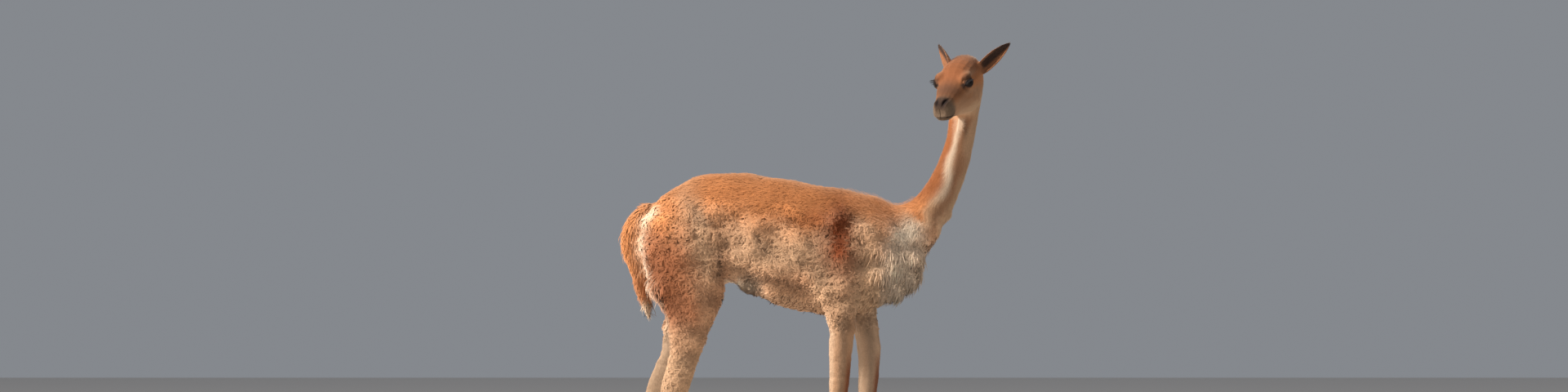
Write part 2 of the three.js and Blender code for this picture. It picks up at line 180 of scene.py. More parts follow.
def colour(name, description, red, green, blue):
    """A colour property, its default given in screen levels."""
    return FloatVectorProperty(
        name=name,
        description=description,
        default=(linear(red), linear(green), linear(blue)),
        min=0.0,
        max=1.0,
        size=3,
        subtype="COLOR",
    )


def length(name, description, default):
    """A length property in metres."""
    return FloatProperty(
        name=name, description=description, default=default, min=0.0, unit="LENGTH"
    )


def number(name, description, default):
    """A plain factor."""
    return FloatProperty(name=name, description=description, default=default, min=0.0)


class VicunaColours(bpy.types.PropertyGroup):
    cinnamon: colour("Cinnamon", "Back, nape and tail", 204, 132, 80)
    rust: colour("Rust", "Shoulder patch and front of the lower legs", 122, 58, 26)
    fawn: colour("Fawn", "Wool of the flanks", 208, 170, 134)
    cream: colour("Cream", "Chest, neck's root and buttock stripe", 248, 226, 198)
    pale: colour("Pale", "Belly and inner legs", 220, 190, 160)
    brown: colour("Brown", "Wool of the thighs", 164, 104, 68)
    tan: colour("Tan", "Shanks, forelegs and front of the neck", 196, 152, 116)
    # Shade is painted shade: it lies where shadow falls in the groin fold, the crease under the jaw,
    # the cheeks, the bridge of the nose, the neck's side and round nostrils and eyes, and darkens the
    # chin, lower thigh and rear flank a little.
    shade: colour("Shade", "Groin, cheeks and bridge of the nose", 84, 60, 46)
    bay: colour("Bay", "Forehead and bridge of the nose", 150, 92, 58)
    muzzle: colour("Muzzle", "Nose and lips, and a touch of grey on back and legs", 100, 88, 74)
    # Soot is also laid as painted shadow in the groin fold and in the slits of the nostrils.
    soot: colour("Soot", "Nostrils, lids, lips and ear rims", 40, 29, 26)
    slate: colour("Slate", "Hair inside the ears", 66, 54, 50)
    sole: colour("Sole", "Soft pads under the feet", 70, 58, 52)
    nail: colour("Nail", "The eight nails", 52, 44, 38)
    iris: colour("Iris", "Coloured ring of the eyes", 26, 15, 9)


class VicunaSkin(bpy.types.PropertyGroup):
    voxel: length("Voxel", "Edge of the grid the flesh is fused on", 0.0024)
    triangles: IntProperty(
        name="Triangles",
        description="Triangles of the whole skin",
        default=198000,
        min=20000,
    )
    close_gap: length("Close gap", "Swelling that closes the cuts between parts", 0.0007)
    relief: length("Relief", "Height of the folds of wool in the skin", 0.0080)
    fold: length("Fold", "Distance between the folds of wool", 0.034)
    curl_relief: length("Curl relief", "Height of the single curls of wool", 0.0042)
    curl: length("Curl", "Distance between the curls of wool", 0.0125)


class VicunaCoat(bpy.types.PropertyGroup):
    density: number("Density", "Factor on the number of tufts", 1.0)
    length: number("Length", "Factor on the length of tufts", 1.0)
    fringe: length("Fringe", "Longest hair of chest and belly", 0.075)
    lash: length("Lash", "Length of the upper lashes", 0.013)


class VicunaStage(bpy.types.PropertyGroup):
    distance: length("Distance", "Camera to the body's middle plane", 16.0)
    camera_height: length("Camera height", "Lens above the floor", 0.5)
    frame_width: length("Frame width", "Width seen at the animal", 4.55)
    aim_x: FloatProperty(name="Aim X", description="Middle of the frame", default=-0.091)
    aim_z: FloatProperty(name="Aim Z", description="Middle of the frame", default=0.853)


# Small helpers on meshes and fields.


def ramp(values, low, high):
    """0 at low, 1 at high, with soft ends."""
    part = np.clip((values - low) / (high - low), 0.0, 1.0)
    return part * part * (3.0 - 2.0 * part)


def hill(values, centre, half_width):
    """1 at the centre, falling off as a bell of that half width."""
    return np.exp(-(((values - centre) / half_width) ** 2))


def spot(points, centre, radii):
    """A soft spot in x and z of those radii."""
    across = (points[:, 0] - centre[0]) / radii[0]
    upward = (points[:, 2] - centre[1]) / radii[1]
    return np.exp(-(across**2 + upward**2))


def unit(vectors):
    """Vectors of length one."""
    return vectors / (np.linalg.norm(vectors, axis=1, keepdims=True) + 1e-12)


def waves(points, size, seed, count=14):
    """A smooth random field of about -1 to 1 whose lumps are size across."""
    rng = np.random.default_rng(seed)
    field = np.zeros(len(points))
    ways = unit(rng.normal(size=(count, 3)))
    for way in ways:
        turns = 2.0 * math.pi / (size * rng.uniform(1.4, 2.8))
        field += np.sin(points @ way * turns + rng.uniform(0.0, 2.0 * math.pi))
    return field / math.sqrt(count * 0.5) * 0.6


def read(mesh, kind, name, width, numbers=float):
    """A mesh layer as an array with width numbers per row."""
    layer = getattr(mesh, kind)
    values = np.zeros(len(layer) * width, np.float32 if numbers is float else np.int32)
    layer.foreach_get(name, values)
    return values.reshape(-1, width).astype(numbers) if width > 1 else values


def vertex_places(mesh):
    """Where a mesh's vertices are."""
    return read(mesh, "vertices", "co", 3)


def vertex_normals(mesh):
    """Which way the surface faces at a mesh's vertices."""
    return read(mesh, "vertices", "normal", 3)


def set_places(mesh, points):
    """Moves a mesh's vertices."""
    mesh.vertices.foreach_set("co", points.astype(np.float32).ravel())
    mesh.update()


def edge_ends(mesh):
    """The two vertices of each edge."""
    return read(mesh, "edges", "vertices", 2, int)


def corners(mesh):
    """The vertices of each triangle."""
    return read(mesh, "loops", "vertex_index", 1, int).reshape(-1, 3)


def spread(values, ends, rounds, amount=0.5, hold=None):
    """Each vertex's value moves towards its neighbours' mean, rounds times."""
    count = len(values)
    flat = values.reshape(count, -1).copy()
    start, end = ends[:, 0], ends[:, 1]
    shared = np.bincount(start, minlength=count) + np.bincount(end, minlength=count)
    shared = np.maximum(shared, 1).astype(float)
    share = amount if hold is None else amount * (1.0 - hold)
    for _ in range(rounds):
        for column in range(flat.shape[1]):
            v = flat[:, column]
            total = np.bincount(start, v[end], count) + np.bincount(end, v[start], count)
            flat[:, column] = v + share * (total / shared - v)
    return flat.reshape(values.shape)


def even_out(points, ends, rounds, weight):
    """Smooths the surface without shrinking it, by weight from 0 to 1."""
    for _ in range(rounds):
        softer = spread(points, ends, 1, 0.5)
        points = points + (softer - points) * weight
        harder = spread(points, ends, 1, 0.53)
        points = points - (harder - points) * weight
    return points


def store(mesh, name, kind, values):
    """Keeps a field on the mesh's vertices."""
    layer = mesh.attributes.get(name) or mesh.attributes.new(name, kind, "POINT")
    key = {"FLOAT": "value", "INT": "value", "FLOAT_VECTOR": "vector"}.get(kind, "color")
    layer.data.foreach_set(key, np.ascontiguousarray(values).ravel())


def store_tint(mesh, tint):
    """Stores a colour for each vertex."""
    store(mesh, "tint", "FLOAT_COLOR", np.concatenate([tint, np.ones((len(tint), 1))], 1))


def fetch(mesh, name):
    """A field kept on the mesh's vertices."""
    layer = mesh.attributes[name]
    kind = layer.data_type
    width = {"FLOAT": 1, "INT": 1, "FLOAT_VECTOR": 3}.get(kind, 4)
    key = {"FLOAT": "value", "INT": "value", "FLOAT_VECTOR": "vector"}.get(kind, "color")
    values = np.zeros(len(layer.data) * width, np.int32 if kind == "INT" else np.float32)
    layer.data.foreach_get(key, values)
    return values.reshape(-1, width) if width > 1 else values


def only(thing):
    """Makes one object the selected and active one."""
    bpy.ops.object.select_all(action="DESELECT")
    thing.hide_viewport = False
    thing.select_set(True)
    bpy.context.view_layer.objects.active = thing


def copy_of(node):
    """A new object with a copy of a CAD node's mesh, its doubles merged."""
    mesh = frame["nodes"][node].data.copy()
    mesh.materials.clear()
    thing = bpy.data.objects.new("copy_" + node, mesh)
    bpy.context.scene.collection.objects.link(thing)
    only(thing)
    bpy.ops.object.mode_set(mode="EDIT")
    bpy.ops.mesh.select_all(action="SELECT")
    bpy.ops.mesh.remove_doubles(threshold=0.00002)
    bpy.ops.object.mode_set(mode="OBJECT")
    return thing


def choose_vertices(thing, chosen):
    """Opens an object for editing with only the chosen vertices selected."""
    only(thing)
    bpy.ops.object.mode_set(mode="EDIT")
    bpy.ops.mesh.select_mode(type="VERT")
    bpy.ops.mesh.select_all(action="DESELECT")
    bpy.ops.object.mode_set(mode="OBJECT")
    thing.data.vertices.foreach_set("select", chosen)
    bpy.ops.object.mode_set(mode="EDIT")
    bpy.ops.mesh.select_mode(type="VERT")


def modify(thing, kind, **settings):
    """Adds a modifier and applies it."""
    only(thing)
    bpy.ops.object.modifier_add(type=kind)
    modifier = thing.modifiers[-1]
    for key, value in settings.items():
        setattr(modifier, key, value)
    bpy.ops.object.modifier_apply(modifier=modifier.name)


def shade_smooth(mesh):
    mesh.polygons.foreach_set("use_smooth", np.ones(len(mesh.polygons), bool))
    mesh.update()


def finish_piece(thing, body_slot, *nodes):
    """Hangs a finished piece on the root body and hides the nodes it stands for."""
    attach(thing, "root")
    if nodes:
        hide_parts(*nodes)


# The head's own frame.


def eye_centre(side):
    """Middle of an eye's CAD solid."""
    low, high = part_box("eye_" + side)
    return np.array((low + high) / 2.0)


def head_frame():
    """Origin and the ways ahead, left and up of the head, from the eyes."""
    left_eye, right_eye = eye_centre("left"), eye_centre("right")
    across = left_eye - right_eye
    across[2] = 0.0
    left = across / np.linalg.norm(across)
    level = np.cross(left, (0.0, 0.0, 1.0))
    ahead = level * math.cos(HEAD_NOD) - np.array((0.0, 0.0, math.sin(HEAD_NOD)))
    up = np.cross(ahead, left)
    origin = (left_eye + right_eye) / 2.0 - ahead * EYE_PLACE[0] - up * EYE_PLACE[2]
    return origin, np.stack([ahead, left, up])


HEAD_ORIGIN, HEAD_WAYS = head_frame()


def on_head(points):
    """Places in the head's frame: ahead, left, up."""
    return (points - HEAD_ORIGIN) @ HEAD_WAYS.T


def off_head(places):
    """Places in the row frame, from the head's frame."""
    return HEAD_ORIGIN + np.asarray(places) @ HEAD_WAYS


def way_off_head(ways):
    """Directions in the row frame, from the head's frame."""
    return np.asarray(ways) @ HEAD_WAYS


# The skin: the flesh fused into one surface, smoothed and sunk by the coat's depth.


def fused_flesh(settings):
    """All flesh nodes as one closed surface."""
    copies = [copy_of(node) for node in FLESH + EYES]
    bpy.ops.object.select_all(action="DESELECT")
    for thing in copies:
        thing.select_set(True)
    bpy.context.view_layer.objects.active = copies[0]
    bpy.ops.object.join()
    skin = bpy.context.view_layer.objects.active
    skin.name = skin.data.name = "skin"
    modify(skin, "DISPLACE", strength=settings.close_gap, mid_level=0.0)
    modify(skin, "REMESH", mode="VOXEL", voxel_size=settings.voxel, adaptivity=0.0)
    keep_outside(skin)
    modify(skin, "TRIANGULATE")
    refine_face(skin)
    weights = skin.vertex_groups.new(name="coarse")
    steps = np.round(coarseness(vertex_places(skin.data)) * WEIGHT_STEPS).astype(int)
    for step in range(1, WEIGHT_STEPS + 1):
        chosen = np.nonzero(steps == step)[0].tolist()
        weights.add(chosen, step / WEIGHT_STEPS, "REPLACE")
    modify(
        skin,
        "DECIMATE",
        ratio=settings.triangles / len(skin.data.polygons),
        vertex_group="coarse",
        vertex_group_factor=COARSENESS,
    )
    skin.vertex_groups.clear()
    return skin


def keep_outside(skin):
    """Removes closed pockets inside the body, such as the sockets' inner walls."""
    height = vertex_places(skin.data)[:, 2]
    choose_vertices(skin, np.arange(len(height)) == np.argmax(height))
    bpy.ops.mesh.select_linked()
    bpy.ops.mesh.select_all(action="INVERT")
    bpy.ops.mesh.delete(type="VERT")
    bpy.ops.object.mode_set(mode="OBJECT")


def coarseness(places):
    """How freely triangles are merged: most on back and neck, not at all on face and ears."""
    z = places[:, 2]
    below_back = z - np.interp(places[:, 0], BACK_AT, BACK_HEIGHT)
    smooth = np.maximum(ramp(below_back, -0.10, -0.04), ramp(z, 0.90, 0.96))
    amount = 0.75 + 0.07 * smooth - 0.05 * ramp(-z, -0.42, -0.36) - 0.20 * ramp(-z, -0.10, -0.06)
    head = on_head(places)
    on_the_head = (np.linalg.norm(head - np.array((0.07, 0.0, -0.04)), axis=1) < 0.2) & (z > 1.04)
    crown = (head[:, 0] < 0.03) & ~((np.abs(head[:, 1]) > 0.045) & (head[:, 2] > 0.0))
    amount = np.where(on_the_head, 0.0, amount)
    return np.where(on_the_head & crown, 0.625, amount)


def region_of(points):
    """The flesh node nearest to each point, as a number in FLESH."""
    all_points, faces, owner = [], [], []
    first = 0
    for number_of_node, node in enumerate(FLESH):
        mesh = frame["nodes"][node].data
        places = vertex_places(mesh)
        triangles = corners(mesh) + first
        all_points.append(places)
        faces.append(triangles)
        owner.append(np.full(len(triangles), number_of_node))
        first += len(places)
    tree = BVHTree.FromPolygons(
        np.concatenate(all_points).tolist(), np.concatenate(faces).tolist()
    )
    owner = np.concatenate(owner)
    return np.array([owner[tree.find_nearest(p)[2]] for p in points.tolist()])


class Masks:
    """Soft membership of each skin vertex in the parts of the body."""

    def __init__(self, regions, ends, rounds):
        self.soft = {}
        groups = {
            "head": ("head",),
            "neck": ("neck",),
            "trunk": ("trunk",),
            "tail": ("tail",),
            "ear": EARS,
            "foreleg": LEGS[:2],
            "hindleg": LEGS[2:],
            "foot": FEET,
        }
        for name, nodes in groups.items():
            inside = np.isin(regions, [FLESH.index(node) for node in nodes])
            self.soft[name] = spread(inside.astype(float), ends, rounds)

    def __getitem__(self, name):
        return self.soft[name]

    def blend(self, amounts, default=0.0):
        """A number for each part, blended over the joins."""
        total = sum(self.soft.values())
        value = sum(self.soft[name] * amounts.get(name, default) for name in self.soft)
        return value / np.maximum(total, 1e-6)


def refine_face(skin):
    """Splits the triangles of the muzzle and round eyes and nostrils once, and again nearer the eyes
    and round the nostrils.
    """
    for wide in (True, False):
        places = on_head(vertex_places(skin.data))
        muzzle = (places[:, 0] > 0.155) & (np.abs(places[:, 1]) < 0.09)
        chosen = muzzle if wide else np.zeros(len(places), bool)
        for out in SIDES.values():
            eye = np.array(EYE_PLACE) * (1.0, out, 1.0)
            nose = np.array(NOSTRIL) * (1.0, out, 1.0)
            chosen |= np.linalg.norm(places - eye, axis=1) < (0.040 if wide else 0.0235)
            chosen |= np.linalg.norm(places - nose, axis=1) < 0.014
        choose_vertices(skin, chosen)
        bpy.ops.mesh.subdivide(number_cuts=1)
        bpy.ops.mesh.select_all(action="SELECT")
        bpy.ops.mesh.quads_convert_to_tris()
        bpy.ops.object.mode_set(mode="OBJECT")


def coat_depth(points, masks):
    """How far the skin lies under the tips of the coat."""
    depth = masks.blend(
        {
            "head": 0.0035,
            "neck": 0.008,
            "trunk": 0.012,
            "tail": 0.011,
            "ear": 0.0012,
            "foreleg": 0.0045,
            "hindleg": 0.0065,
            "foot": 0.002,
        }
    )
    chest = masks["trunk"] * ramp(points[:, 0], 0.17, 0.26) * ramp(-points[:, 2], -0.72, -0.6)
    belly = masks["trunk"] * ramp(-points[:, 2], -0.60, -0.54)
    head = on_head(points)
    muzzle = masks["head"] * ramp(head[:, 0], 0.10, 0.17)
    shank = masks["hindleg"] * ramp(-points[:, 2], -0.42, -0.30)
    depth += 0.010 * chest + 0.004 * belly - 0.0022 * muzzle - 0.0015 * shank
    return depth


def eye_ways(out):
    """Gaze, the way along the lids and the way across them, in the head's frame.

    out is 1 for the left eye and -1 for the right.
    """
    gaze = np.array((0.50, 0.86 * out, 0.06))
    gaze /= np.linalg.norm(gaze)
    along = np.array((0.86, -0.50 * out, -0.22))
    along -= gaze * (along @ gaze)
    along /= np.linalg.norm(along)
    across = np.cross(gaze, along)
    return gaze, along, across * np.sign(across[2])


def ear_way(out):
    """Which way an ear points, in the head's frame."""
    return np.array(EAR_WAY) * (1.0, out, 1.0)


def eye_shape(head_places, out):
    """Distance from an eye's middle, and the place on it along and across the lids."""
    gaze, along, across = eye_ways(out)
    spoke = head_places - np.array(EYE_PLACE) * (1.0, out, 1.0)
    radius = np.linalg.norm(spoke, axis=1)
    way = spoke / (radius[:, None] + 1e-9)
    return radius, way, way @ along, way @ across, way @ gaze


def lid_edge(along, lid):
    """How far from the middle line of the opening a lid's edge stands."""
    height, roundness = lid
    stretch = along / LID_REACH
    return height * np.sqrt(np.clip(1.0 - stretch**2, 0.0, 1.0)) ** roundness


def lid_gap(along, across):
    """Below 0 inside the opening between the lids, above 0 on the lids; about 1 per radius."""
    above = across - lid_edge(along, UPPER_LID)
    below = -lid_edge(along, LOWER_LID) - across
    ends = (np.abs(along) - LID_REACH) * 1.4
    return np.maximum(np.maximum(above, below), ends)


def soften_sockets(points, ends):
    """Evens out the flesh round the eyes, so that brow and cheek meet the lids softly."""
    head = on_head(points)
    hold = np.ones(len(points))
    for out in SIDES.values():
        radius = eye_shape(head, out)[0]
        hold = np.minimum(hold, ramp(radius, *SOCKET))
    hold = np.where(points[:, 2] > 1.0, hold, 1.0)
    return spread(points, ends, rounds=70, hold=hold)


def shape_eyes(head_places):
    """Draws the skin round each eye into lids, and out of sight in the opening."""
    for out in SIDES.values():
        radius, way, along, across, front = eye_shape(head_places, out)
        near = (front > -0.35) & (radius < 0.030)
        gap = lid_gap(along, across)
        opening = 1.0 - ramp(gap, -0.035, 0.035)
        margin = hill(gap, 0.075, 0.085)
        rim = EYE_RADIUS + 0.0010 + 0.0007 * margin * (across > 0.0)
        falloff = 1.0 - ramp(gap, 0.12, 0.62)
        wanted = np.where(radius < rim, rim, radius)
        closer = radius + (wanted - radius) * falloff
        cover = EYE_RADIUS + 0.0007
        near_cover = np.clip(1.0 - np.abs(closer - cover) / CREASE_FILL, 0.0, 1.0)
        closer = np.maximum(closer, cover)
        closer += CREASE_FILL * 0.25 * near_cover**2 * ramp(gap, 0.15, 0.45)
        fold = 0.0013 * hill(gap, 0.27, 0.05) * (across > 0.05)
        closer -= fold * falloff
        inside = EYE_RADIUS - 0.004
        new_radius = closer * (1.0 - opening) + inside * opening
        blend = ramp(front, -0.35, 0.0) * near
        eye = np.array(EYE_PLACE) * (1.0, out, 1.0)
        moved = eye + way * new_radius[:, None]
        head_places = head_places + (moved - head_places) * blend[:, None]
    return head_places


def nostril_shape(head_places, out):
    """Signed place in a nostril: along its slit and across it, in metres."""
    nose = np.array(NOSTRIL) * (1.0, out, 1.0)
    spoke = head_places - nose
    slit = np.array((-0.55, 0.62 * out, 0.56))
    slit /= np.linalg.norm(slit)
    outward = np.array((0.80, 0.45 * out, 0.25))
    outward -= slit * (outward @ slit)
    outward /= np.linalg.norm(outward)
    across = np.cross(slit, outward)
    return spoke @ slit, spoke @ across * out, spoke @ outward, outward


def mouth_line(head_places):
    """Height over the line of the mouth, and how much of a mouth there is."""
    ahead, up = head_places[:, 0], head_places[:, 2]
    part = (ahead - MOUTH_CORNER[0]) / (MOUTH_FRONT[0] - MOUTH_CORNER[0])
    line = MOUTH_CORNER[1] + (MOUTH_FRONT[1] - MOUTH_CORNER[1]) * part
    line = line - 0.003 * np.sin(np.clip(part, 0.0, 1.0) * math.pi)
    there = ramp(ahead, MOUTH_CORNER[0] - 0.004, MOUTH_CORNER[0] + 0.004)
    return up - line, there


def shape_muzzle(head_places, normals):
    """Nostrils, the split upper lip and the line of the mouth."""
    moved = head_places.copy()
    for out in SIDES.values():
        along, across, depth, outward = nostril_shape(head_places, out)
        near = (np.abs(depth) < 0.012) & (head_places[:, 1] * out > -0.001)
        bend = across - SLIT_BEND * along**2
        slit = hill(along, 0.0, 0.0110) * hill(bend, 0.0, 0.0036) * near
        wing = hill(along, 0.001, 0.012) * hill(bend, 0.0078, 0.0036) * near
        moved -= outward * (0.0078 * slit)[:, None]
        moved += outward * (0.0022 * wing)[:, None]
    above, there = mouth_line(head_places)
    groove = hill(above, 0.0, 0.0016) * there
    lips = (hill(above, 0.0055, 0.0045) + 0.8 * hill(above, -0.0055, 0.004)) * there
    split = hill(head_places[:, 1], 0.0, 0.0014) * ramp(head_places[:, 0], 0.196, 0.204)
    split *= ramp(above, 0.0, 0.002) * ramp(-head_places[:, 2], 0.066, 0.072)
    moved += normals * (0.0013 * lips - 0.0030 * groove - 0.0020 * split)[:, None]
    return moved


def clump_centres(points, wanted, size, seed):
    """Some of the points, one in each cell of a grid, as centres of clumps."""
    rng = np.random.default_rng(seed)
    chosen = rng.permutation(np.nonzero(wanted)[0])
    cells = np.floor(points[chosen] / size + rng.uniform(size=3)).astype(int)
    _, first = np.unique(cells, axis=0, return_index=True)
    centres = points[chosen[first]]
    return centres + rng.normal(scale=size * 0.12, size=centres.shape)


def nearest_centre(points, centres):
    """For each point the nearest centre's number and distance."""
    tree = KDTree(len(centres))
    for index, centre in enumerate(centres.tolist()):
        tree.insert(centre, index)
    tree.balance()
    found = [tree.find(p)[1:] for p in points.tolist()]
    return np.array([f[0] for f in found]), np.array([f[1] for f in found])


def curl_centres(base, wool, size):
    """Middles of the curls of wool, on the skin as it is before its relief."""
    return clump_centres(base, wool > 0.05, size, CURL_SEED)


def wool_amount(points, masks):
    """1 where the coat is curly wool, 0 where it is smooth."""
    below_back = points[:, 2] - np.interp(points[:, 0], BACK_AT, BACK_HEIGHT)
    ragged = below_back + 0.018 * waves(points, 0.06, 11)
    trunk = masks["trunk"] * (0.25 + 0.75 * ramp(-ragged, 0.06, 0.13))
    trunk *= 1.0 - 0.45 * ramp(-points[:, 2], -0.60, -0.54) * ramp(-points[:, 0], -0.05, 0.0)
    inner = ramp(-np.abs(points[:, 1] - MIDDLE_Y), -0.094, -0.080) * ramp(-points[:, 2], -0.48, -0.40)
    hind = masks["hindleg"] * ramp(points[:, 2], 0.16, 0.26) * (1.0 - 0.95 * inner)
    fore = masks["foreleg"] * ramp(points[:, 2], 0.42, 0.52)
    neck = masks["neck"] * ramp(-points[:, 2], -0.86, -0.76) * 0.7
    return np.clip(trunk + hind + fore + neck, 0.0, 1.0)


# The markings and the lie of the coat.


def lie_of_coat(points, normals, masks):
    """The way the hair points at each skin vertex."""
    count = len(points)
    head = on_head(points)
    way = np.zeros((count, 3))
    trunk = np.tile((-1.0, 0.0, -0.35), (count, 1))
    shoulder = ramp(points[:, 0], -0.04, 0.10) * ramp(-points[:, 2], -0.84, -0.72)
    thigh = ramp(-points[:, 0], 0.26, 0.36) * ramp(-points[:, 2], -0.84, -0.70)
    down = np.clip(shoulder + thigh, 0.0, 1.0)[:, None]
    trunk = trunk * (1.0 - down) + np.array((-0.25, 0.0, -1.0)) * down
    hang = ramp(-points[:, 2], -0.64, -0.56)[:, None]
    trunk = trunk * (1.0 - hang) + np.array((-0.5, 0.0, -1.0)) * hang
    way += masks["trunk"][:, None] * trunk
    way += masks["neck"][:, None] * np.array((-0.35, 0.0, -1.0))
    way += (masks["foreleg"] + masks["hindleg"])[:, None] * np.array((0.0, 0.0, -1.0))
    way += masks["tail"][:, None] * np.array((-0.15, 0.0, -1.0))
    way += masks["foot"][:, None] * np.array((0.7, 0.0, -0.8))
    backward = unit(head - np.array((0.235, 0.0, -0.050)))
    backward = way_off_head(unit(backward + np.array((-0.2, 0.0, 0.0))))
    way += masks["head"][:, None] * backward
    for out in SIDES.values():
        mine = masks["ear"] * (head[:, 1] * out > 0.0)
        way += mine[:, None] * way_off_head(unit(ear_way(out)[None]))
    way -= normals * np.sum(way * normals, axis=1)[:, None]
    return unit(way)


def rises(field, start, full, least=0.0):
    """A mark that grows from the least at start to its full strength."""
    return lambda fields: least + (1.0 - least) * ramp(fields[field], start, full)


def band(field, middle, half_width):
    """A mark that fades away on both sides of a value."""
    return lambda fields: hill(fields[field], middle, half_width)


def patch(middle, radii, places="ragged"):
    """A soft patch in x and z."""
    return lambda fields: spot(fields[places], middle, radii)


def painted(tint, marks, fields, tones):
    """The tint with the marks laid over it."""
    for tone, part, strength, *limits in marks:
        amount = fields[part] * strength
        for limit in limits:
            amount = amount * limit(fields)
        share = np.clip(amount, 0.0, 1.0)[:, None]
        tint = tint * (1.0 - share) + tones[tone] * share
    return tint


# Marks of colour, laid one over another in this order: tone, part, strength, limits.
RUMP_MARKS = (
    ("tan", "trunk", 0.40),
    ("tan", "trunk", 0.50, patch((-0.22, 0.735), (0.10, 0.07))),
    ("tan", "hindleg", 1.00),
    ("brown", "rear", 0.90, rises("z", 0.44, 0.56)),
    ("rust", "rear", 0.40, patch((-0.44, 0.66), (0.06, 0.12))),
    ("rust", "rear", 0.50, patch((-0.40, 0.53), (0.07, 0.07))),
    ("brown", "rear", 0.90, patch((-0.375, 0.55), (0.05, 0.05))),
    ("cinnamon", "rear", 1.00, rises("z", 0.70, 0.80)),
    ("tan", "hindleg", 0.60, rises("x", -0.36, -0.31), rises("z", 0.40, 0.50)),
)
BACK_MARKS = (
    ("cinnamon", "trunk", 1.00, rises("over_back", -0.200, -0.075), rises("x", -0.60, -0.30)),
    ("tan", "rear", 1.10, patch((-0.335, 0.80), (0.055, 0.085))),
    ("fawn", "rear", 0.70, patch((-0.315, 0.69), (0.045, 0.10))),
    ("cinnamon", "trunk", 0.80, patch((0.02, 0.775), (0.085, 0.04))),
    ("rust", "trunk", 0.45, patch((-0.02, 0.785), (0.10, 0.022))),
    ("rust", "shoulder", 1.25, patch((0.070, 0.735), (0.056, 0.095))),
    ("rust", "shoulder", 0.40, patch((0.080, 0.63), (0.040, 0.07))),
    ("tan", "shoulder", 0.60, patch((0.155, 0.74), (0.05, 0.08))),
    ("tan", "shoulder", 0.70, patch((0.05, 0.55), (0.05, 0.05))),
    ("muzzle", "trunk", 0.15, rises("over_back", -0.04, 0.0)),
    ("muzzle", "rear", 0.20, patch((-0.335, 0.82), (0.06, 0.07))),
    ("shade", "trunk", 0.14, patch((-0.22, 0.735), (0.08, 0.05))),
    ("shade", "rear", 0.30, patch((-0.376, 0.545), (0.05, 0.04))),
)
ON_FLANK = (rises("z", 0.68, 0.60), rises("x", 0.05, 0.0))
ON_CHEST = (rises("x", 0.13, 0.24), rises("z", 0.76, 0.66))
BELLY_MARKS = (
    # Painted shade: brown darkens the lower flank where it turns under towards the belly.
    ("brown", "trunk", 0.50, *ON_FLANK),
    ("tan", "trunk", 0.80, *ON_FLANK, rises("z", 0.62, 0.56)),
    ("pale", "trunk", 0.20, rises("facing_z", -0.45, -0.85), rises("z", 0.72, 0.60)),
    ("cream", "front", 1.10, patch((0.262, 0.740), (0.052, 0.048))),
    # Painted light: cream lightens the hair under the belly's rear, which lies in shade.
    ("cream", "trunk", 1.00, patch((-0.215, 0.585), (0.05, 0.03))),
    ("cinnamon", "front", 0.90, patch((0.26, 0.83), (0.07, 0.035))),
    ("cream", "front", 0.80, *ON_CHEST),
    ("tan", "front", 0.42, *ON_CHEST, rises("x", 0.28, 0.33, 0.286)),
    # Painted shadow in the fold between the thigh and the belly.
    ("shade", "trunk", 1.00, patch((-0.272, 0.662), (0.016, 0.045), "points")),
    ("soot", "groin", 0.90, patch((-0.276, 0.655), (0.008, 0.036), "points")),
)
# Forelegs are cream behind and inside, and rust in front below the knee.
LEG_MARKS = (
    ("tan", "foreleg", 1.00, rises("z", 0.56, 0.48)),
    ("pale", "legs", 0.50, rises("inner", 0.1, 0.6), rises("z", 0.66, 0.56)),
    ("muzzle", "foreleg", 0.50, band("facing_x", 0.15, 0.35), rises("z", 0.56, 0.48)),
    ("pale", "foreleg", 0.50, rises("facing_x", -0.25, -0.75), rises("z", 0.54, 0.46)),
    ("rust", "foreleg", 0.85, rises("facing_x", 0.25, 0.75), rises("z", 0.42, 0.33)),
    ("pale", "hindleg", 0.15, rises("facing_x", -0.25, -0.75), rises("z", 0.50, 0.40)),
    ("fawn", "hindleg", 0.50, rises("z", 0.42, 0.36)),
    # Painted shade: grey on the inner side of the lower hind legs, where they face each other.
    ("muzzle", "hindleg", 0.45, rises("inner", 0.1, 0.6), rises("z", 0.48, 0.42)),
    ("fawn", "foot", 0.80),
    ("tan", "foot", 0.70, rises("facing_x", 0.0, 0.6)),
)
BESIDE_TAIL = (rises("z", 0.56, 0.62), rises("z", 0.84, 0.79))
TAIL_MARKS = (
    ("cream", "rear", 0.85, band("off_stripe", 0.005, 0.019), *BESIDE_TAIL),
    ("cream", "rear", 1.00, rises("x", -0.50, -0.53), rises("z", 0.80, 0.74)),
    ("cinnamon", "tail", 1.00),
    ("brown", "tail", 0.60, rises("z", 0.66, 0.60)),
    ("pale", "tail", 1.00, rises("z", 0.585, 0.545)),
)
ON_NAPE = rises("side", -0.10, -0.34)
ABOVE_CHEST = rises("height", 0.82, 0.88)
# Painted shadow in the crease under the jaw, only on the side that faces the camera.
IN_CREASE = (patch((0.432, 1.045), (0.006, 0.024), "points"), rises("facing_y", 0.0, -0.5))
NECK_MARKS = (
    ("tan", "neck", 1.00, ABOVE_CHEST),
    ("cinnamon", "neck", 1.00, ON_NAPE),
    ("rust", "neck", 0.55, ON_NAPE, ABOVE_CHEST),
    # The cream band down the neck's side is partly painted light where light falls on it.
    ("cream", "neck", 0.75, band("side", 0.0, 0.26), ABOVE_CHEST),
    # Painted shade: a band of brown and shade beside the cream, towards the throat.
    ("brown", "neck", 0.50, band("side", 0.42, 0.28)),
    ("shade", "neck", 0.15, band("side", 0.42, 0.20)),
    ("fawn", "neck", 0.60, rises("side", 0.62, 0.90), ABOVE_CHEST),
    ("shade", "neck", 0.70, *IN_CREASE),
)
ON_BRIDGE = (rises("ahead", 0.10, 0.15), rises("up", -0.07, -0.03))
OVER_EYE = (band("ahead", 0.074, 0.028), band("up", -0.005, 0.010), rises("out", 0.025, 0.042))
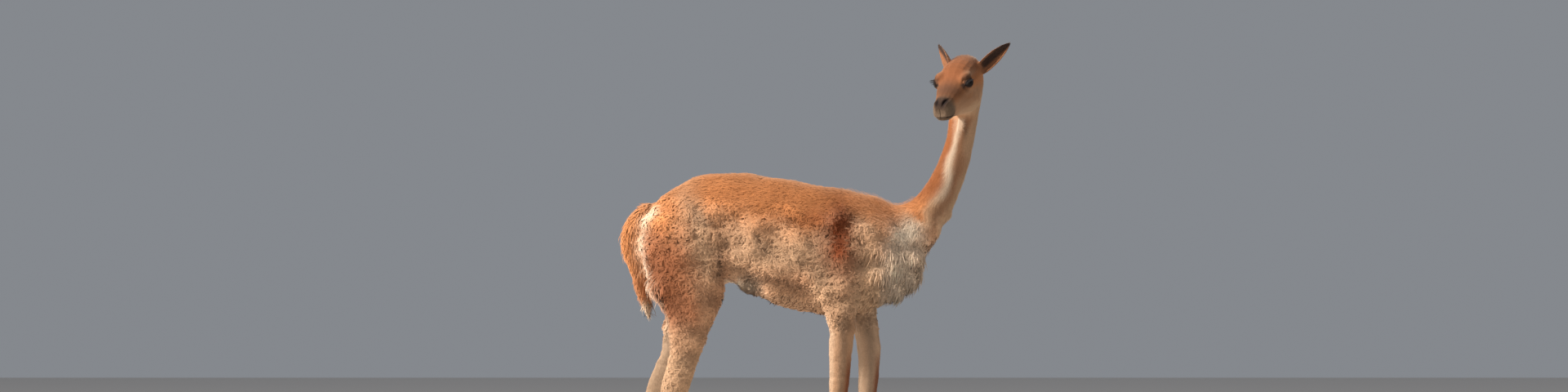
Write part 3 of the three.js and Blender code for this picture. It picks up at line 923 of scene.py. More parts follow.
AT_TEMPLE = (band("ahead", 0.050, 0.040), band("up", 0.018, 0.016), rises("out", 0.028, 0.040))
UNDER_EYE = (band("ahead", 0.095, 0.032), band("up", -0.054, 0.010), rises("out", 0.03, 0.045))
ON_RIDGE = (band("out", 0.0, 0.020), rises("ahead", 0.09, 0.15), rises("up", -0.06, -0.02))
ON_CHEEK = (band("ahead", 0.115, 0.070), band("up", -0.060, 0.040), rises("out", 0.012, 0.03))
ON_LEATHER = (band("up", -0.055, 0.016), rises("ahead", 0.174, 0.188), rises("out", 0.021, 0.011))
FACE_MARKS = (
    ("cinnamon", "face", 1.00),
    ("bay", "face", 0.95, rises("ragged_up", -0.045, 0.0)),
    ("brown", "face", 0.55, rises("ragged_up", -0.01, 0.03), rises("ahead", 0.10, 0.02)),
    ("tan", "face", 0.85, rises("ragged_up", -0.040, -0.075)),
    ("fawn", "face", 0.90, rises("ragged_up", -0.080, -0.115), rises("ahead", 0.17, 0.13)),
    # Pale over the eye, partly a painted highlight on the brow, brown at the temple, pale under the
    # eye.
    ("fawn", "face", 0.40, *OVER_EYE),
    ("brown", "face", 0.60, *AT_TEMPLE),
    ("fawn", "face", 0.60, *UNDER_EYE),
    # Bridge of the nose, darker partly as painted shade, the cheek in painted shade, muzzle, the
    # leather between the nostrils and the chin.
    ("bay", "face", 1.00, *ON_RIDGE),
    ("brown", "face", 0.60, *ON_BRIDGE),
    ("shade", "face", 0.78, *ON_BRIDGE),
    ("shade", "face", 0.42, *ON_CHEEK),
    ("muzzle", "face", 0.85, rises("ragged_ahead", 0.162, 0.190)),
    ("soot", "face", 0.95, *ON_LEATHER),
    ("shade", "face", 0.35, rises("up", -0.094, -0.104), rises("ahead", 0.14, 0.17)),
)
# Marks of one side: the nostril, with painted shade round it and in its slit, and the lids.
SIDE_MARKS = (
    ("shade", "at_nostril", 0.90, band("slit_along", 0.0, 0.0160), band("slit_across", 0.0, 0.0100)),
    ("soot", "at_nostril", 1.50, band("slit_along", 0.0, 0.0135), band("slit_across", 0.0, 0.0066)),
    # Dark skin round the eye; it reaches further above the eye as painted shade under the upper lid.
    ("shade", "round_eye", 0.95, rises("lid_gap", 0.75, 0.20)),
    ("soot", "round_eye", 1.00, rises("lid_edge", 1.0, 0.0)),
)
# The line of the lips, and ears that are brown outside and slate inside, darkened as painted shade in
# the middle of the hollow, with dark tips.
LAST_MARKS = (
    ("soot", "mouth", 1.00, band("over_mouth", 0.0, 0.0028)),
    ("cinnamon", "ear", 0.60),
    ("brown", "ear", 0.75),
    ("slate", "hollow", 0.90),
    ("soot", "hollow", 0.55),
    ("soot", "ear", 0.65, rises("up", 0.026, 0.044)),
)

# The buttock stripe's middle at each height.
STRIPE_HEIGHT = (0.585, 0.66, 0.72, 0.78, 0.82)
STRIPE_AT = (-0.478, -0.515, -0.518, -0.503, -0.478)

# Where on the neck's side its cream band runs, partly painted light: the normal's lengthwise share at
# each height.
NECK_HEIGHT = (0.80, 0.85, 0.92, 1.00, 1.05)
CREAM_FACING = (0.00, 0.02, 0.08, -0.10, -0.26)


def markings(points, normals, masks, colours):
    """The coat's colour at each skin vertex, in linear light."""
    tones = {key: np.array(getattr(colours, key)) for key in setting_names(colours)}
    tint = np.tile(tones["fawn"], (len(points), 1))
    body = body_places(points, normals, masks)
    for marks in (RUMP_MARKS, BACK_MARKS, BELLY_MARKS, LEG_MARKS, TAIL_MARKS):
        tint = painted(tint, marks, body, tones)
    tint = painted(tint, NECK_MARKS, neck_places(points, normals, masks), tones)
    face = face_places(points, normals, masks)
    tint = painted(tint, FACE_MARKS, face, tones)
    for out in SIDES.values():
        tint = painted(tint, SIDE_MARKS, side_places(points, face["face"], out), tones)
    return painted(tint, LAST_MARKS, face, tones)


def body_places(points, normals, masks):
    """The parts of the body and the places on it that its marks go by."""
    ragged = points + 0.010 * np.stack([waves(points, 0.05, seed) for seed in (1, 2, 3)], 1)
    x, z = ragged[:, 0], ragged[:, 2]
    found = {name: masks[name] for name in ("trunk", "hindleg", "foreleg", "foot", "tail")}
    trunk, hind, fore, neck = (masks[name] for name in ("trunk", "hindleg", "foreleg", "neck"))
    found.update(
        rear=np.clip(trunk * ramp(x, -0.30, -0.38) + hind, 0.0, 1.0),
        shoulder=np.clip(trunk + fore, 0.0, 1.0),
        front=trunk + neck,
        groin=trunk + hind,
        legs=fore + hind,
        points=points,
        ragged=ragged,
        x=x,
        z=z,
        over_back=z - np.interp(x, BACK_AT, BACK_HEIGHT),
        off_stripe=x - np.interp(z, STRIPE_HEIGHT, STRIPE_AT),
        facing_x=normals[:, 0],
        facing_z=normals[:, 2],
        inner=-np.sign(points[:, 1] - MIDDLE_Y) * normals[:, 1],
    )
    return found


def throat_of(points, masks):
    """The part of the head's solid that lies under the jaw and belongs to the neck."""
    ahead = on_head(points)[:, 0]
    blend = 0.045 * ramp(ahead, 0.06, 0.0)
    low = ramp(points[:, 2], 1.095 + blend, 1.070 - blend)
    return masks["head"] * low * ramp(ahead, 0.15, 0.13)


def neck_places(points, normals, masks):
    """The neck, and how far round it from its cream band each vertex lies."""
    ragged = normals[:, 0] + 0.15 * waves(points, 0.05, 5)
    return {
        "neck": np.clip(masks["neck"] + throat_of(points, masks), 0.0, 1.0),
        "side": ragged - np.interp(points[:, 2], NECK_HEIGHT, CREAM_FACING),
        "height": points[:, 2],
        "facing_y": normals[:, 1],
        "points": points,
    }


def ear_hollow(head, ear):
    """1 in the middle of each ear's hollow, 0 at its rims."""
    middle = np.zeros(len(head))
    for out in SIDES.values():
        mine = (ear > 0.5) & (head[:, 1] * out > 0.0)
        width = np.cross(ear_way(out), (1.0, 0.0, 0.0))
        offset = np.abs((head - head[mine].mean(axis=0)) @ (width / np.linalg.norm(width)))
        middle = np.where(mine, 1.0 - 0.85 * ramp(offset, 0.006, 0.015), middle)
    return middle


def face_places(points, normals, masks):
    """Face, mouth and ears, and the places on the head that their marks go by."""
    head = on_head(points)
    ahead, out, up = head[:, 0], np.abs(head[:, 1]), head[:, 2]
    wobble = 0.006 * waves(points, 0.03, 8)
    face, ear = masks["head"] - throat_of(points, masks), masks["ear"]
    over_mouth, there = mouth_line(head)
    return {
        "face": face,
        "ear": ear,
        "hollow": ear * ramp(normals @ HEAD_WAYS[0], 0.0, 0.5) * ear_hollow(head, ear),
        "mouth": face * there,
        "over_mouth": over_mouth,
        "ahead": ahead,
        "out": out,
        "up": up,
        "ragged_ahead": ahead + wobble,
        "ragged_up": up + wobble,
    }


def side_places(points, face, out):
    """One nostril and one eye, and the places round them that their marks go by."""
    head = on_head(points)
    along, across, depth, _ = nostril_shape(head, out)
    near = (np.abs(depth) < 0.014) & (head[:, 1] * out > -0.001)
    radius, _, lid_along, lid_across, front = eye_shape(head, out)
    gap = lid_gap(lid_along, lid_across)
    close = ramp(front, 0.0, 0.25) * (radius < 0.036) * ramp(radius, 0.034, 0.024)
    # The dark edge round the eye is wider above it, painted shade under the upper lid.
    dark_width = 0.02 + 0.20 * (0.4 + 0.6 * ramp(lid_across, -0.2, 0.2))
    return {
        "at_nostril": face * near,
        "slit_along": along,
        "slit_across": across - SLIT_BEND * along**2,
        "round_eye": face * close,
        "lid_gap": gap,
        "lid_edge": (gap - 0.10) / dark_width,
    }


# The coat of each part: length and width of a tuft in metres, how steeply it rises, and how
# many thousand tufts grow on a square metre.
MEASURES = ("length", "girth", "rise", "thick")
COAT = {
    "head": (0.0070, 0.0009, 0.10, 520.0),
    "neck": (0.0130, 0.0012, 0.17, 205.0),
    "trunk": (0.0200, 0.0016, 0.27, 92.0),
    "tail": (0.0300, 0.0028, 0.23, 75.0),
    "ear": (0.0060, 0.0011, 0.12, 360.0),
    "foreleg": (0.0095, 0.0014, 0.16, 150.0),
    "hindleg": (0.0100, 0.0015, 0.16, 150.0),
    "foot": (0.0070, 0.0013, 0.14, 180.0),
}
LOWER_NECK_COAT = (0.0170, 0.0019, 0.24, 140.0)
THROAT_COAT = (0.0120, 0.0012, 0.16, 230.0)
WOOL_COAT = (0.0130, 0.0032, 0.24, 68.0)
SHANK_WOOL_COAT = (0.0105, 0.0027, 0.26, 90.0)


def change_coat(fields, share, coat):
    """Brings the coat's measures nearer to those of another coat."""
    for name, value in zip(MEASURES, coat):
        fields[name] += share * (value - fields[name])


def coat_fields(points, normals, masks, wool):
    """Length, width, rise, curl and number of tufts at each skin vertex."""
    head, height = on_head(points), points[:, 2]
    fields = {}
    for place, name in enumerate(MEASURES):
        fields[name] = masks.blend({part: coat[place] for part, coat in COAT.items()})
    change_coat(fields, masks["neck"] * ramp(height, 1.02, 0.90), LOWER_NECK_COAT)
    forward = masks["head"] * ramp(head[:, 0], 0.09, 0.18)
    fields["length"] *= 1.0 - 0.50 * forward
    fields["girth"] *= 1.0 - 0.15 * forward
    change_coat(fields, masks["head"] * ramp(height, 1.12, 1.02), THROAT_COAT)
    small = ramp(masks["hindleg"], 0.2, 0.8) * ramp(height, 0.62, 0.50)
    woolly = [full + (low - full) * small for full, low in zip(WOOL_COAT, SHANK_WOOL_COAT)]
    change_coat(fields, ramp(wool, 0.30, 0.65), woolly)
    for out in SIDES.values():
        radius, _, _, _, front = eye_shape(head, out)
        calm = (1.0 - ramp(radius, *SOCKET)) * ramp(front, -0.4, 0.0)
        fields["length"] *= 1.0 - 0.45 * calm
        fields["rise"] *= 1.0 - 0.60 * calm
    fields["curl"] = 0.05 + 0.05 * wool
    fields["thick"] *= bare_places(points, normals)
    return fields


def bare_places(points, normals):
    """0 where no hair grows: eyes, nostrils, lips' line and soles."""
    head = on_head(points)
    grown = ramp(points[:, 2], 0.010, 0.022)
    for out in SIDES.values():
        radius, _, along, across, front = eye_shape(head, out)
        lid = ramp(lid_gap(along, across), 0.13, 0.24)
        near = (front > 0.0) & (radius < 0.034)
        grown = np.where(near, grown * lid, grown)
        slit, over, depth, _ = nostril_shape(head, out)
        hole = hill(slit, 0.0, 0.013) * hill(over - SLIT_BEND * slit**2, 0.0, 0.0058)
        grown *= 1.0 - np.clip(hole * 1.6, 0.0, 1.0) * (np.abs(depth) < 0.014)
    above, there = mouth_line(head)
    at_mouth = hill(above, 0.0, 0.0035) * there * (points[:, 2] > 1.0)
    return grown * (1.0 - np.clip(at_mouth * 1.3, 0.0, 1.0))


# Tufts.


def tuft_faces(rings):
    """The triangles of one tuft: its sides, its tip and its closed root."""
    pattern = []
    for ring in range(rings - 1):
        for corner in range(3):
            a, b = ring * 3 + corner, ring * 3 + (corner + 1) % 3
            pattern += [(a, b, b + 3), (a, b + 3, a + 3)]
    last = (rings - 1) * 3
    pattern += [(last + c, last + (c + 1) % 3, last + 3) for c in range(3)]
    pattern.append((0, 2, 1))
    return np.array(pattern, np.int32)


def tuft_mesh(name, spots, kind):
    """One mesh of tapered three-sided tufts; spots holds their arrays."""
    count = len(spots["root"])
    rings = len(RINGS[kind])
    steps = [step for step, _ in RINGS[kind]] + [1.0]
    side = unit(np.cross(spots["normal"], spots["lie"]))
    long, wide = spots["length"][:, None], spots["girth"][:, None]
    per = rings * 3 + 1
    points = np.zeros((count, per, 3), np.float32)
    facing = np.zeros((count, per, 3), np.float32)
    along = np.zeros((count, per), np.float32)
    for ring, step in enumerate(steps):
        lift = spots["rise"] * (
            (1.0 - spots["bow"]) * step + spots["bow"] * np.sin(math.pi * 0.90 * step)
        )
        reach = step * (1.0 - 0.25 * spots["rise"] * step)
        sway = spots["curl"] * np.sin(spots["phase"] + step * spots["turn"])
        sway -= spots["curl"] * np.sin(spots["phase"])
        sway += spots["bend"] * step**2
        middle = spots["root"] + spots["lie"] * (long * reach[:, None])
        sink = ROOT_DEPTH * (1.0 - step) ** 3
        middle = middle + spots["normal"] * (long * lift[:, None] + wide * 0.1 - sink)
        middle = middle + side * (long * sway[:, None])
        if ring == rings:
            points[:, -1] = middle
            facing[:, -1] = spots["facing"] + spots["lie"] * 0.2
            along[:, -1] = 1.0
            continue
        swell = RINGS[kind][ring][1]
        for corner in range(3):
            angle = math.pi * (0.5 + 2.0 * corner / 3.0)
            offset = side * math.cos(angle) + spots["normal"] * (FLATNESS * math.sin(angle))
            points[:, ring * 3 + corner] = middle + offset * (wide * 0.5 * swell)
            facing[:, ring * 3 + corner] = spots["facing"] + offset * SIDE_LIGHT
            along[:, ring * 3 + corner] = step
    points[:, :, 2] = np.maximum(points[:, :, 2], LEAST_HAIR_HEIGHT)
    faces = (tuft_faces(rings)[None] + (np.arange(count) * per)[:, None, None]).reshape(-1, 3)
    mesh = bpy.data.meshes.new(name)
    mesh.vertices.add(count * per)
    mesh.vertices.foreach_set("co", points.ravel())
    mesh.loops.add(faces.size)
    mesh.loops.foreach_set("vertex_index", faces.ravel().astype(np.int32))
    mesh.polygons.add(len(faces))
    mesh.polygons.foreach_set("loop_start", np.arange(0, faces.size, 3, dtype=np.int32))
    mesh.update(calc_edges=True)
    tints = np.ones((count, per, 4), np.float32)
    tints[:, :, :3] = spots["tint"][:, None, :]
    store(mesh, "tint", "FLOAT_COLOR", tints.reshape(-1, 4))
    store(mesh, "along", "FLOAT", along.ravel())
    layer = mesh.uv_layers.new(name="OFBake")
    turn = np.arange(per) * 2.4
    ring_of_places = np.stack([np.cos(turn), np.sin(turn)], 1) * BAKE_SIZE
    places = (spots["place"][:, None, :] + ring_of_places[None]).reshape(-1, 2)
    layer.data.foreach_set("uv", places[faces.ravel()].astype(np.float32).ravel())
    shade_smooth(mesh)
    mesh.normals_split_custom_set_from_vertices(unit(facing.reshape(-1, 3)))
    return mesh


def unwrapped(points, normals):
    """A place in the unit square for each root: six charts by the way the skin faces."""
    strongest = np.argmax(np.abs(normals), axis=1)
    positive = normals[np.arange(len(normals)), strongest] > 0.0
    chart = strongest * 2 + positive
    places = np.zeros((len(points), 2))
    for number_of_chart in range(6):
        mine = chart == number_of_chart
        if not mine.any():
            continue
        axes = [axis for axis in range(3) if axis != number_of_chart // 2]
        flat = points[mine][:, axes]
        low, high = flat.min(axis=0), flat.max(axis=0)
        cell = np.array((number_of_chart % 3, number_of_chart // 3))
        inside = (flat - low) / np.maximum(high - low, 1e-5)
        places[mine] = (cell + 0.03 + 0.94 * inside) / (3.0, 2.0)
    return places


def scatter(skin, fields, wanted, count_factor, rng):
    """Roots spread evenly over the wanted triangles by their thickness of coat."""
    mesh = skin.data
    triangles = corners(mesh)
    points = vertex_places(mesh)
    a, b, c = (points[triangles[:, k]] for k in range(3))
    area = np.linalg.norm(np.cross(b - a, c - a), axis=1) * 0.5
    thick = fields["thick"][triangles].mean(axis=1) * 1000.0 * count_factor
    share = np.where(wanted[triangles[:, 0]], area * thick, 0.0)
    ends = np.cumsum(share)
    total = int(ends[-1])
    marks = (np.arange(total) + rng.uniform(0.0, 1.0, total)) * (ends[-1] / max(total, 1))
    chosen = np.minimum(np.searchsorted(ends, marks), len(triangles) - 1)
    mix = rng.uniform(size=(total, 2))
    flip = mix.sum(axis=1) > 1.0
    mix[flip] = 1.0 - mix[flip]
    weights = np.stack([1.0 - mix.sum(axis=1), mix[:, 0], mix[:, 1]], 1)
    return triangles[chosen], weights


def taken(values, picks, weights):
    """A field at the roots, blended from the triangle's corners."""
    got = values[picks]
    if got.ndim == 3:
        return np.sum(got * weights[:, :, None], axis=1)
    return np.sum(got * weights, axis=1)


AT_ROOTS = ("length", "girth", "rise", "curl", "wool", "tint", "lie", "normal", "root", "base")


def grow(skin, fields, wanted, centres, seed, factors):
    """The arrays of tufts on part of the skin."""
    rng = np.random.default_rng(seed)
    picks, weights = scatter(skin, fields, wanted, factors["density"], rng)
    count = len(picks)
    spots = {name: taken(fields[name], picks, weights) for name in AT_ROOTS}
    spots["normal"] = unit(spots["normal"])
    wool = spots["wool"]
    side = np.cross(spots["normal"], spots["lie"])
    swing = rng.normal(size=count) * (0.16 + 0.10 * wool)
    swirl = np.zeros((count, 3))
    spots["bend"] = np.zeros(count)
    if centres is not None:
        which, distance = nearest_centre(spots["base"], centres)
        own = np.random.default_rng(CURL_TONE_SEED)
        close = 1.0 - np.clip(distance / (factors["curl"] * CURL_REACH), 0.0, 1.0)
        spots["rise"] = spots["rise"] * (1.0 + wool * (0.5 * close - 0.25))
        # Each curl has its own random tone, and painted shade darkens its tufts towards the crevice
        # at its edge.
        shade = 0.06 * own.uniform(-1.0, 1.0, len(centres))[which] + 0.05 * (close - 0.4)
        spots["tint"] = spots["tint"] * (1.0 + shade * wool)[:, None]
        turn = np.where(own.uniform(size=len(centres)) < 0.5, -1.0, 1.0)[which]
        inward = unit(centres[which] - spots["base"])
        around = np.cross(spots["normal"], inward) * turn[:, None]
        swirl = (around * 1.15 + inward * 0.30) * (wool * (1.0 - 0.5 * close))[:, None]
        spots["bend"] = -turn * wool * (0.42 - 0.15 * close)
    lie = spots["lie"] * np.cos(swing)[:, None] + side * np.sin(swing)[:, None] + swirl
    lie -= spots["normal"] * np.sum(lie * spots["normal"], axis=1)[:, None]
    spots["lie"] = unit(lie)
    size = np.exp(rng.normal(size=count) * 0.16)
    spots["length"] = spots["length"] * size * factors["length"]
    spots["girth"] = spots["girth"] * np.exp(rng.normal(size=count) * 0.18)
    spots["rise"] = spots["rise"] * rng.uniform(0.75, 1.25, count)
    spots["bow"] = np.clip(0.35 + 0.55 * wool + rng.normal(size=count) * 0.1, 0.0, 1.0)
    spots["phase"] = rng.uniform(0.0, 2.0 * math.pi, count)
    spots["turn"] = 1.2 + 2.6 * wool * rng.uniform(0.6, 1.3, count)
    change = 1.0 + 0.05 * rng.normal(size=count)
    spots["tint"] = np.clip(spots["tint"] * change[:, None], 0.0, 1.0)
    spots["place"] = unwrapped(spots["root"], spots["normal"])
    upward = factors["upward"] + 0.7 * ramp(-spots["normal"][:, 2], 0.1, 0.8)
    spots["facing"] = unit(spots["normal"] + upward[:, None] * np.array((0.0, 0.0, 1.0)))
    return spots


# Materials.


def new_node(tree, kind, x, y, **settings):
    """A node at a place in its tree, with its settings."""
    node = tree.nodes.new(kind)
    node.location = (x, y)
    for key, value in settings.items():
        setattr(node, key, value)
    return node


def coat_colour_group():
    """Colour and relief that skin and tufts share: the markings, darker at the roots as painted shade
    among the hairs.
    """
    name = "Coat colour"
    if name in bpy.data.node_groups:
        return bpy.data.node_groups[name]
    group = bpy.data.node_groups.new(name, "ShaderNodeTree")
    face = group.interface
    for label, low, high, default in (
        ("Root shade", 0.0, 2.0, 0.7), ("Tip shade", 0.0, 2.0, 1.1),
        ("Fleck", 0.0, 1.0, 0.2), ("Fleck scale", 1.0, 2000.0, 300.0),
    ):
        socket = face.new_socket(label, in_out="INPUT", socket_type="NodeSocketFloat")
        socket.min_value, socket.max_value, socket.default_value = low, high, default
    face.new_socket("Colour", in_out="OUTPUT", socket_type="NodeSocketColor")
    face.new_socket("Relief", in_out="OUTPUT", socket_type="NodeSocketFloat")
    inlet = new_node(group, "NodeGroupInput", -900, 0)
    outlet = new_node(group, "NodeGroupOutput", 500, 0)
    tint = new_node(group, "ShaderNodeAttribute", -700, 200, attribute_name="tint")
    along = new_node(group, "ShaderNodeAttribute", -700, 0, attribute_name="along")
    place = new_node(group, "ShaderNodeTexCoord", -900, -300)
    noise = new_node(group, "ShaderNodeTexNoise", -500, -300)
    noise.inputs["Detail"].default_value = 3.0
    shade = new_node(group, "ShaderNodeMapRange", -300, 0)
    fleck = new_node(group, "ShaderNodeMapRange", -300, -300)
    less = new_node(group, "ShaderNodeMath", -500, -500, operation="SUBTRACT")
    more = new_node(group, "ShaderNodeMath", -500, -700, operation="ADD")
    both = new_node(group, "ShaderNodeMath", -100, -100, operation="MULTIPLY")
    toned = new_node(group, "ShaderNodeVectorMath", 200, 100, operation="SCALE")
    less.inputs[0].default_value = 1.0
    more.inputs[0].default_value = 1.0
    link = group.links.new
    link(place.outputs["Object"], noise.inputs["Vector"])
    link(inlet.outputs["Fleck scale"], noise.inputs["Scale"])
    link(inlet.outputs["Fleck"], less.inputs[1])
    link(inlet.outputs["Fleck"], more.inputs[1])
    link(noise.outputs["Fac"], fleck.inputs["Value"])
    fleck.inputs["From Min"].default_value = 0.3
    fleck.inputs["From Max"].default_value = 0.7
    link(less.outputs[0], fleck.inputs["To Min"])
    link(more.outputs[0], fleck.inputs["To Max"])
    link(along.outputs["Fac"], shade.inputs["Value"])
    link(inlet.outputs["Root shade"], shade.inputs["To Min"])
    link(inlet.outputs["Tip shade"], shade.inputs["To Max"])
    link(shade.outputs[0], both.inputs[0])
    link(fleck.outputs[0], both.inputs[1])
    link(tint.outputs["Color"], toned.inputs[0])
    link(both.outputs[0], toned.inputs["Scale"])
    link(toned.outputs["Vector"], outlet.inputs["Colour"])
    link(noise.outputs["Fac"], outlet.inputs["Relief"])
    return group


# Root and tip scale the tone at a tuft's root and tip; the darker root is painted shade among the
# hairs.
SKIN_FINISH = {
    "root": 0.80, "tip": 1.0, "fleck": 0.16, "scale": 420.0,
    "roughness": 0.85, "sheen": 0.05, "bump": 0.0008,
}
FLEECE_FINISH = {
    "root": 0.80, "tip": 1.08, "fleck": 0.12, "scale": 260.0,
    "roughness": 0.8, "sheen": 0.3, "bump": 0.0,
}
SHEEN_TINT = (1.0, 0.82, 0.64, 1.0)


def coat_material(name, root, tip, fleck, scale, roughness, sheen, bump):
    """A finish of the coat, its colour from the shared group."""
    made = bpy.data.materials.new(name)
    made.use_nodes = True
    tree = made.node_tree
    shader = tree.nodes["Principled BSDF"]
    shader.inputs["Roughness"].default_value = roughness
    shader.inputs["Specular IOR Level"].default_value = 0.15
    shader.inputs["Sheen Weight"].default_value = sheen
    shader.inputs["Sheen Roughness"].default_value = 0.5
    shader.inputs["Sheen Tint"].default_value = SHEEN_TINT
    group = new_node(tree, "ShaderNodeGroup", -500, 100, node_tree=coat_colour_group())
    group.inputs["Root shade"].default_value = root
    group.inputs["Tip shade"].default_value = tip
    group.inputs["Fleck"].default_value = fleck
    group.inputs["Fleck scale"].default_value = scale
    tree.links.new(group.outputs["Colour"], shader.inputs["Base Color"])
    if bump > 0.0:
        relief = new_node(tree, "ShaderNodeBump", -250, -200)
        relief.inputs["Strength"].default_value = 0.7
        relief.inputs["Distance"].default_value = bump
        tree.links.new(group.outputs["Relief"], relief.inputs["Height"])
        tree.links.new(relief.outputs["Normal"], shader.inputs["Normal"])
    return made


def gloss_material(name, tone, roughness, gloss):
    """A hard, wet or horny finish with small changes of colour."""
    made = bpy.data.materials.new(name)
    made.use_nodes = True
    tree = made.node_tree
    shader = tree.nodes["Principled BSDF"]
    shader.inputs["Roughness"].default_value = roughness
    shader.inputs["Coat Weight"].default_value = gloss
    shader.inputs["Coat Roughness"].default_value = 0.03
    place = new_node(tree, "ShaderNodeTexCoord", -900, 0)
    noise = new_node(tree, "ShaderNodeTexNoise", -700, 0)
    noise.inputs["Scale"].default_value = 180.0
    mix = new_node(tree, "ShaderNodeMix", -400, 0, data_type="RGBA")
    mix.inputs["A"].default_value = [v * 0.7 for v in tone] + [1.0]
    mix.inputs["B"].default_value = [min(v * 1.5, 1.0) for v in tone] + [1.0]
    tree.links.new(place.outputs["Object"], noise.inputs["Vector"])
    tree.links.new(noise.outputs["Fac"], mix.inputs["Factor"])
    tree.links.new(mix.outputs["Result"], shader.inputs["Base Color"])
    return made


def eye_material():
    """Eyeball: painted iris and pupil under a clear wet coat."""
    made = bpy.data.materials.new("Eye")
    made.use_nodes = True
    tree = made.node_tree
    shader = tree.nodes["Principled BSDF"]
    shader.inputs["Roughness"].default_value = 0.3
    shader.inputs["Specular IOR Level"].default_value = 0.1
    shader.inputs["Coat Weight"].default_value = 0.10
    shader.inputs["Coat Roughness"].default_value = 0.03
    tint = new_node(tree, "ShaderNodeAttribute", -400, 100, attribute_name="tint")
    tree.links.new(tint.outputs["Color"], shader.inputs["Base Color"])
    return made


# Operators.


class VICUNA_OT_skin(bpy.types.Operator):
    """One skin over head, neck, trunk, tail, legs and feet, with its markings"""

    bl_idname = "vicuna.skin"
    bl_label = "Skin"

    def execute(self, context):
        settings, colours = context.scene.vicuna_skin, context.scene.vicuna_colours
        skin = fused_flesh(settings)
        mesh = skin.data
        ends = edge_ends(mesh)
        regions = region_of(vertex_places(mesh))
        masks = Masks(regions, ends, rounds=12)
        base = self.smoothed(mesh, ends, masks)
        wool = wool_amount(base, masks)
        _, distance = nearest_centre(base, curl_centres(base, wool, settings.curl))
        curls = 1.0 - np.clip(distance / (settings.curl * CURL_REACH), 0.0, 1.25) ** 2
        folds = np.clip(waves(base, settings.fold, FOLD_SEED), -1.1, 1.1)
        height = settings.relief * (folds - 0.25) + settings.curl_relief * (curls - 0.4)
        points = self.faced(mesh, self.raised(mesh, base, masks, wool * height))
        normals = vertex_normals(mesh)
        soft_normals = unit(spread(normals, ends, rounds=3))
        tint = markings(points, soft_normals, masks, colours)
        # Painted light and shade of the wool: lighter on the tops of curls and folds, darker in the
        # crevices between them.
        tint *= (1.0 + wool * (0.20 * curls + 0.19 * folds - 0.07))[:, None]
        sole = ramp(points[:, 2], 0.016, 0.008)
        tint = tint + (np.array(colours.sole) - tint) * sole[:, None]
        store_tint(mesh, tint)
        store(mesh, "along", "FLOAT", np.full(len(points), ALONG_ON_SKIN))
        lie = unit(spread(lie_of_coat(points, soft_normals, masks), ends, rounds=6))
        store(mesh, "lie", "FLOAT_VECTOR", lie)
        store(mesh, "wool", "FLOAT", wool)
        store(mesh, "base", "FLOAT_VECTOR", base)
        store(mesh, "part", "INT", regions.astype(np.int32))
        for name, values in coat_fields(points, normals, masks, wool).items():
            store(mesh, name, "FLOAT", values)
        mesh.materials.append(coat_material("Skin", **SKIN_FINISH))
        shade_smooth(mesh)
        finish_piece(skin, "coat", *FLESH)
        return {"FINISHED"}

    def smoothed(self, mesh, ends, masks):
        """Smooths the fused flesh and sinks it under the tips of the coat."""
        weight = masks.blend({"head": 0.75, "ear": 0.25}, 1.0)
        points = even_out(vertex_places(mesh), ends, rounds=34, weight=weight[:, None])
        feet = ramp(points[:, 2], 0.17, 0.13)
        points = even_out(points, ends, rounds=60, weight=feet[:, None])
        set_places(mesh, points)
        depth = spread(coat_depth(points, masks), ends, rounds=10)
        points = points - vertex_normals(mesh) * depth[:, None]
        points = even_out(points, ends, rounds=4, weight=(weight * 0.6)[:, None])
        points = soften_sockets(points, ends)
        ankle = np.clip(hill(points[:, 2], 0.085, 0.022) * 1.3, 0.0, 1.0)
        points = spread(points, ends, rounds=45, hold=1.0 - ankle)
        set_places(mesh, points)
        return points

    def raised(self, mesh, points, masks, height):
        """The skin with the relief of the wool, which is lower on the shanks."""
        calmer = 1.0 - 0.5 * ramp(masks["hindleg"], 0.2, 0.8) * ramp(points[:, 2], 0.66, 0.50)
        return points + vertex_normals(mesh) * (height * calmer)[:, None]

    def faced(self, mesh, points):
        """Shapes eyes, nose and mouth, and keeps the soles over the floor."""
        ways = vertex_normals(mesh) @ HEAD_WAYS.T
        shaped = shape_muzzle(shape_eyes(on_head(points)), ways)
        points = points + (off_head(shaped) - points) * ramp(points[:, 2], 1.0, 1.03)[:, None]
        points[:, 2] = np.maximum(points[:, 2], LEAST_HEIGHT)
        set_places(mesh, points)
        return points


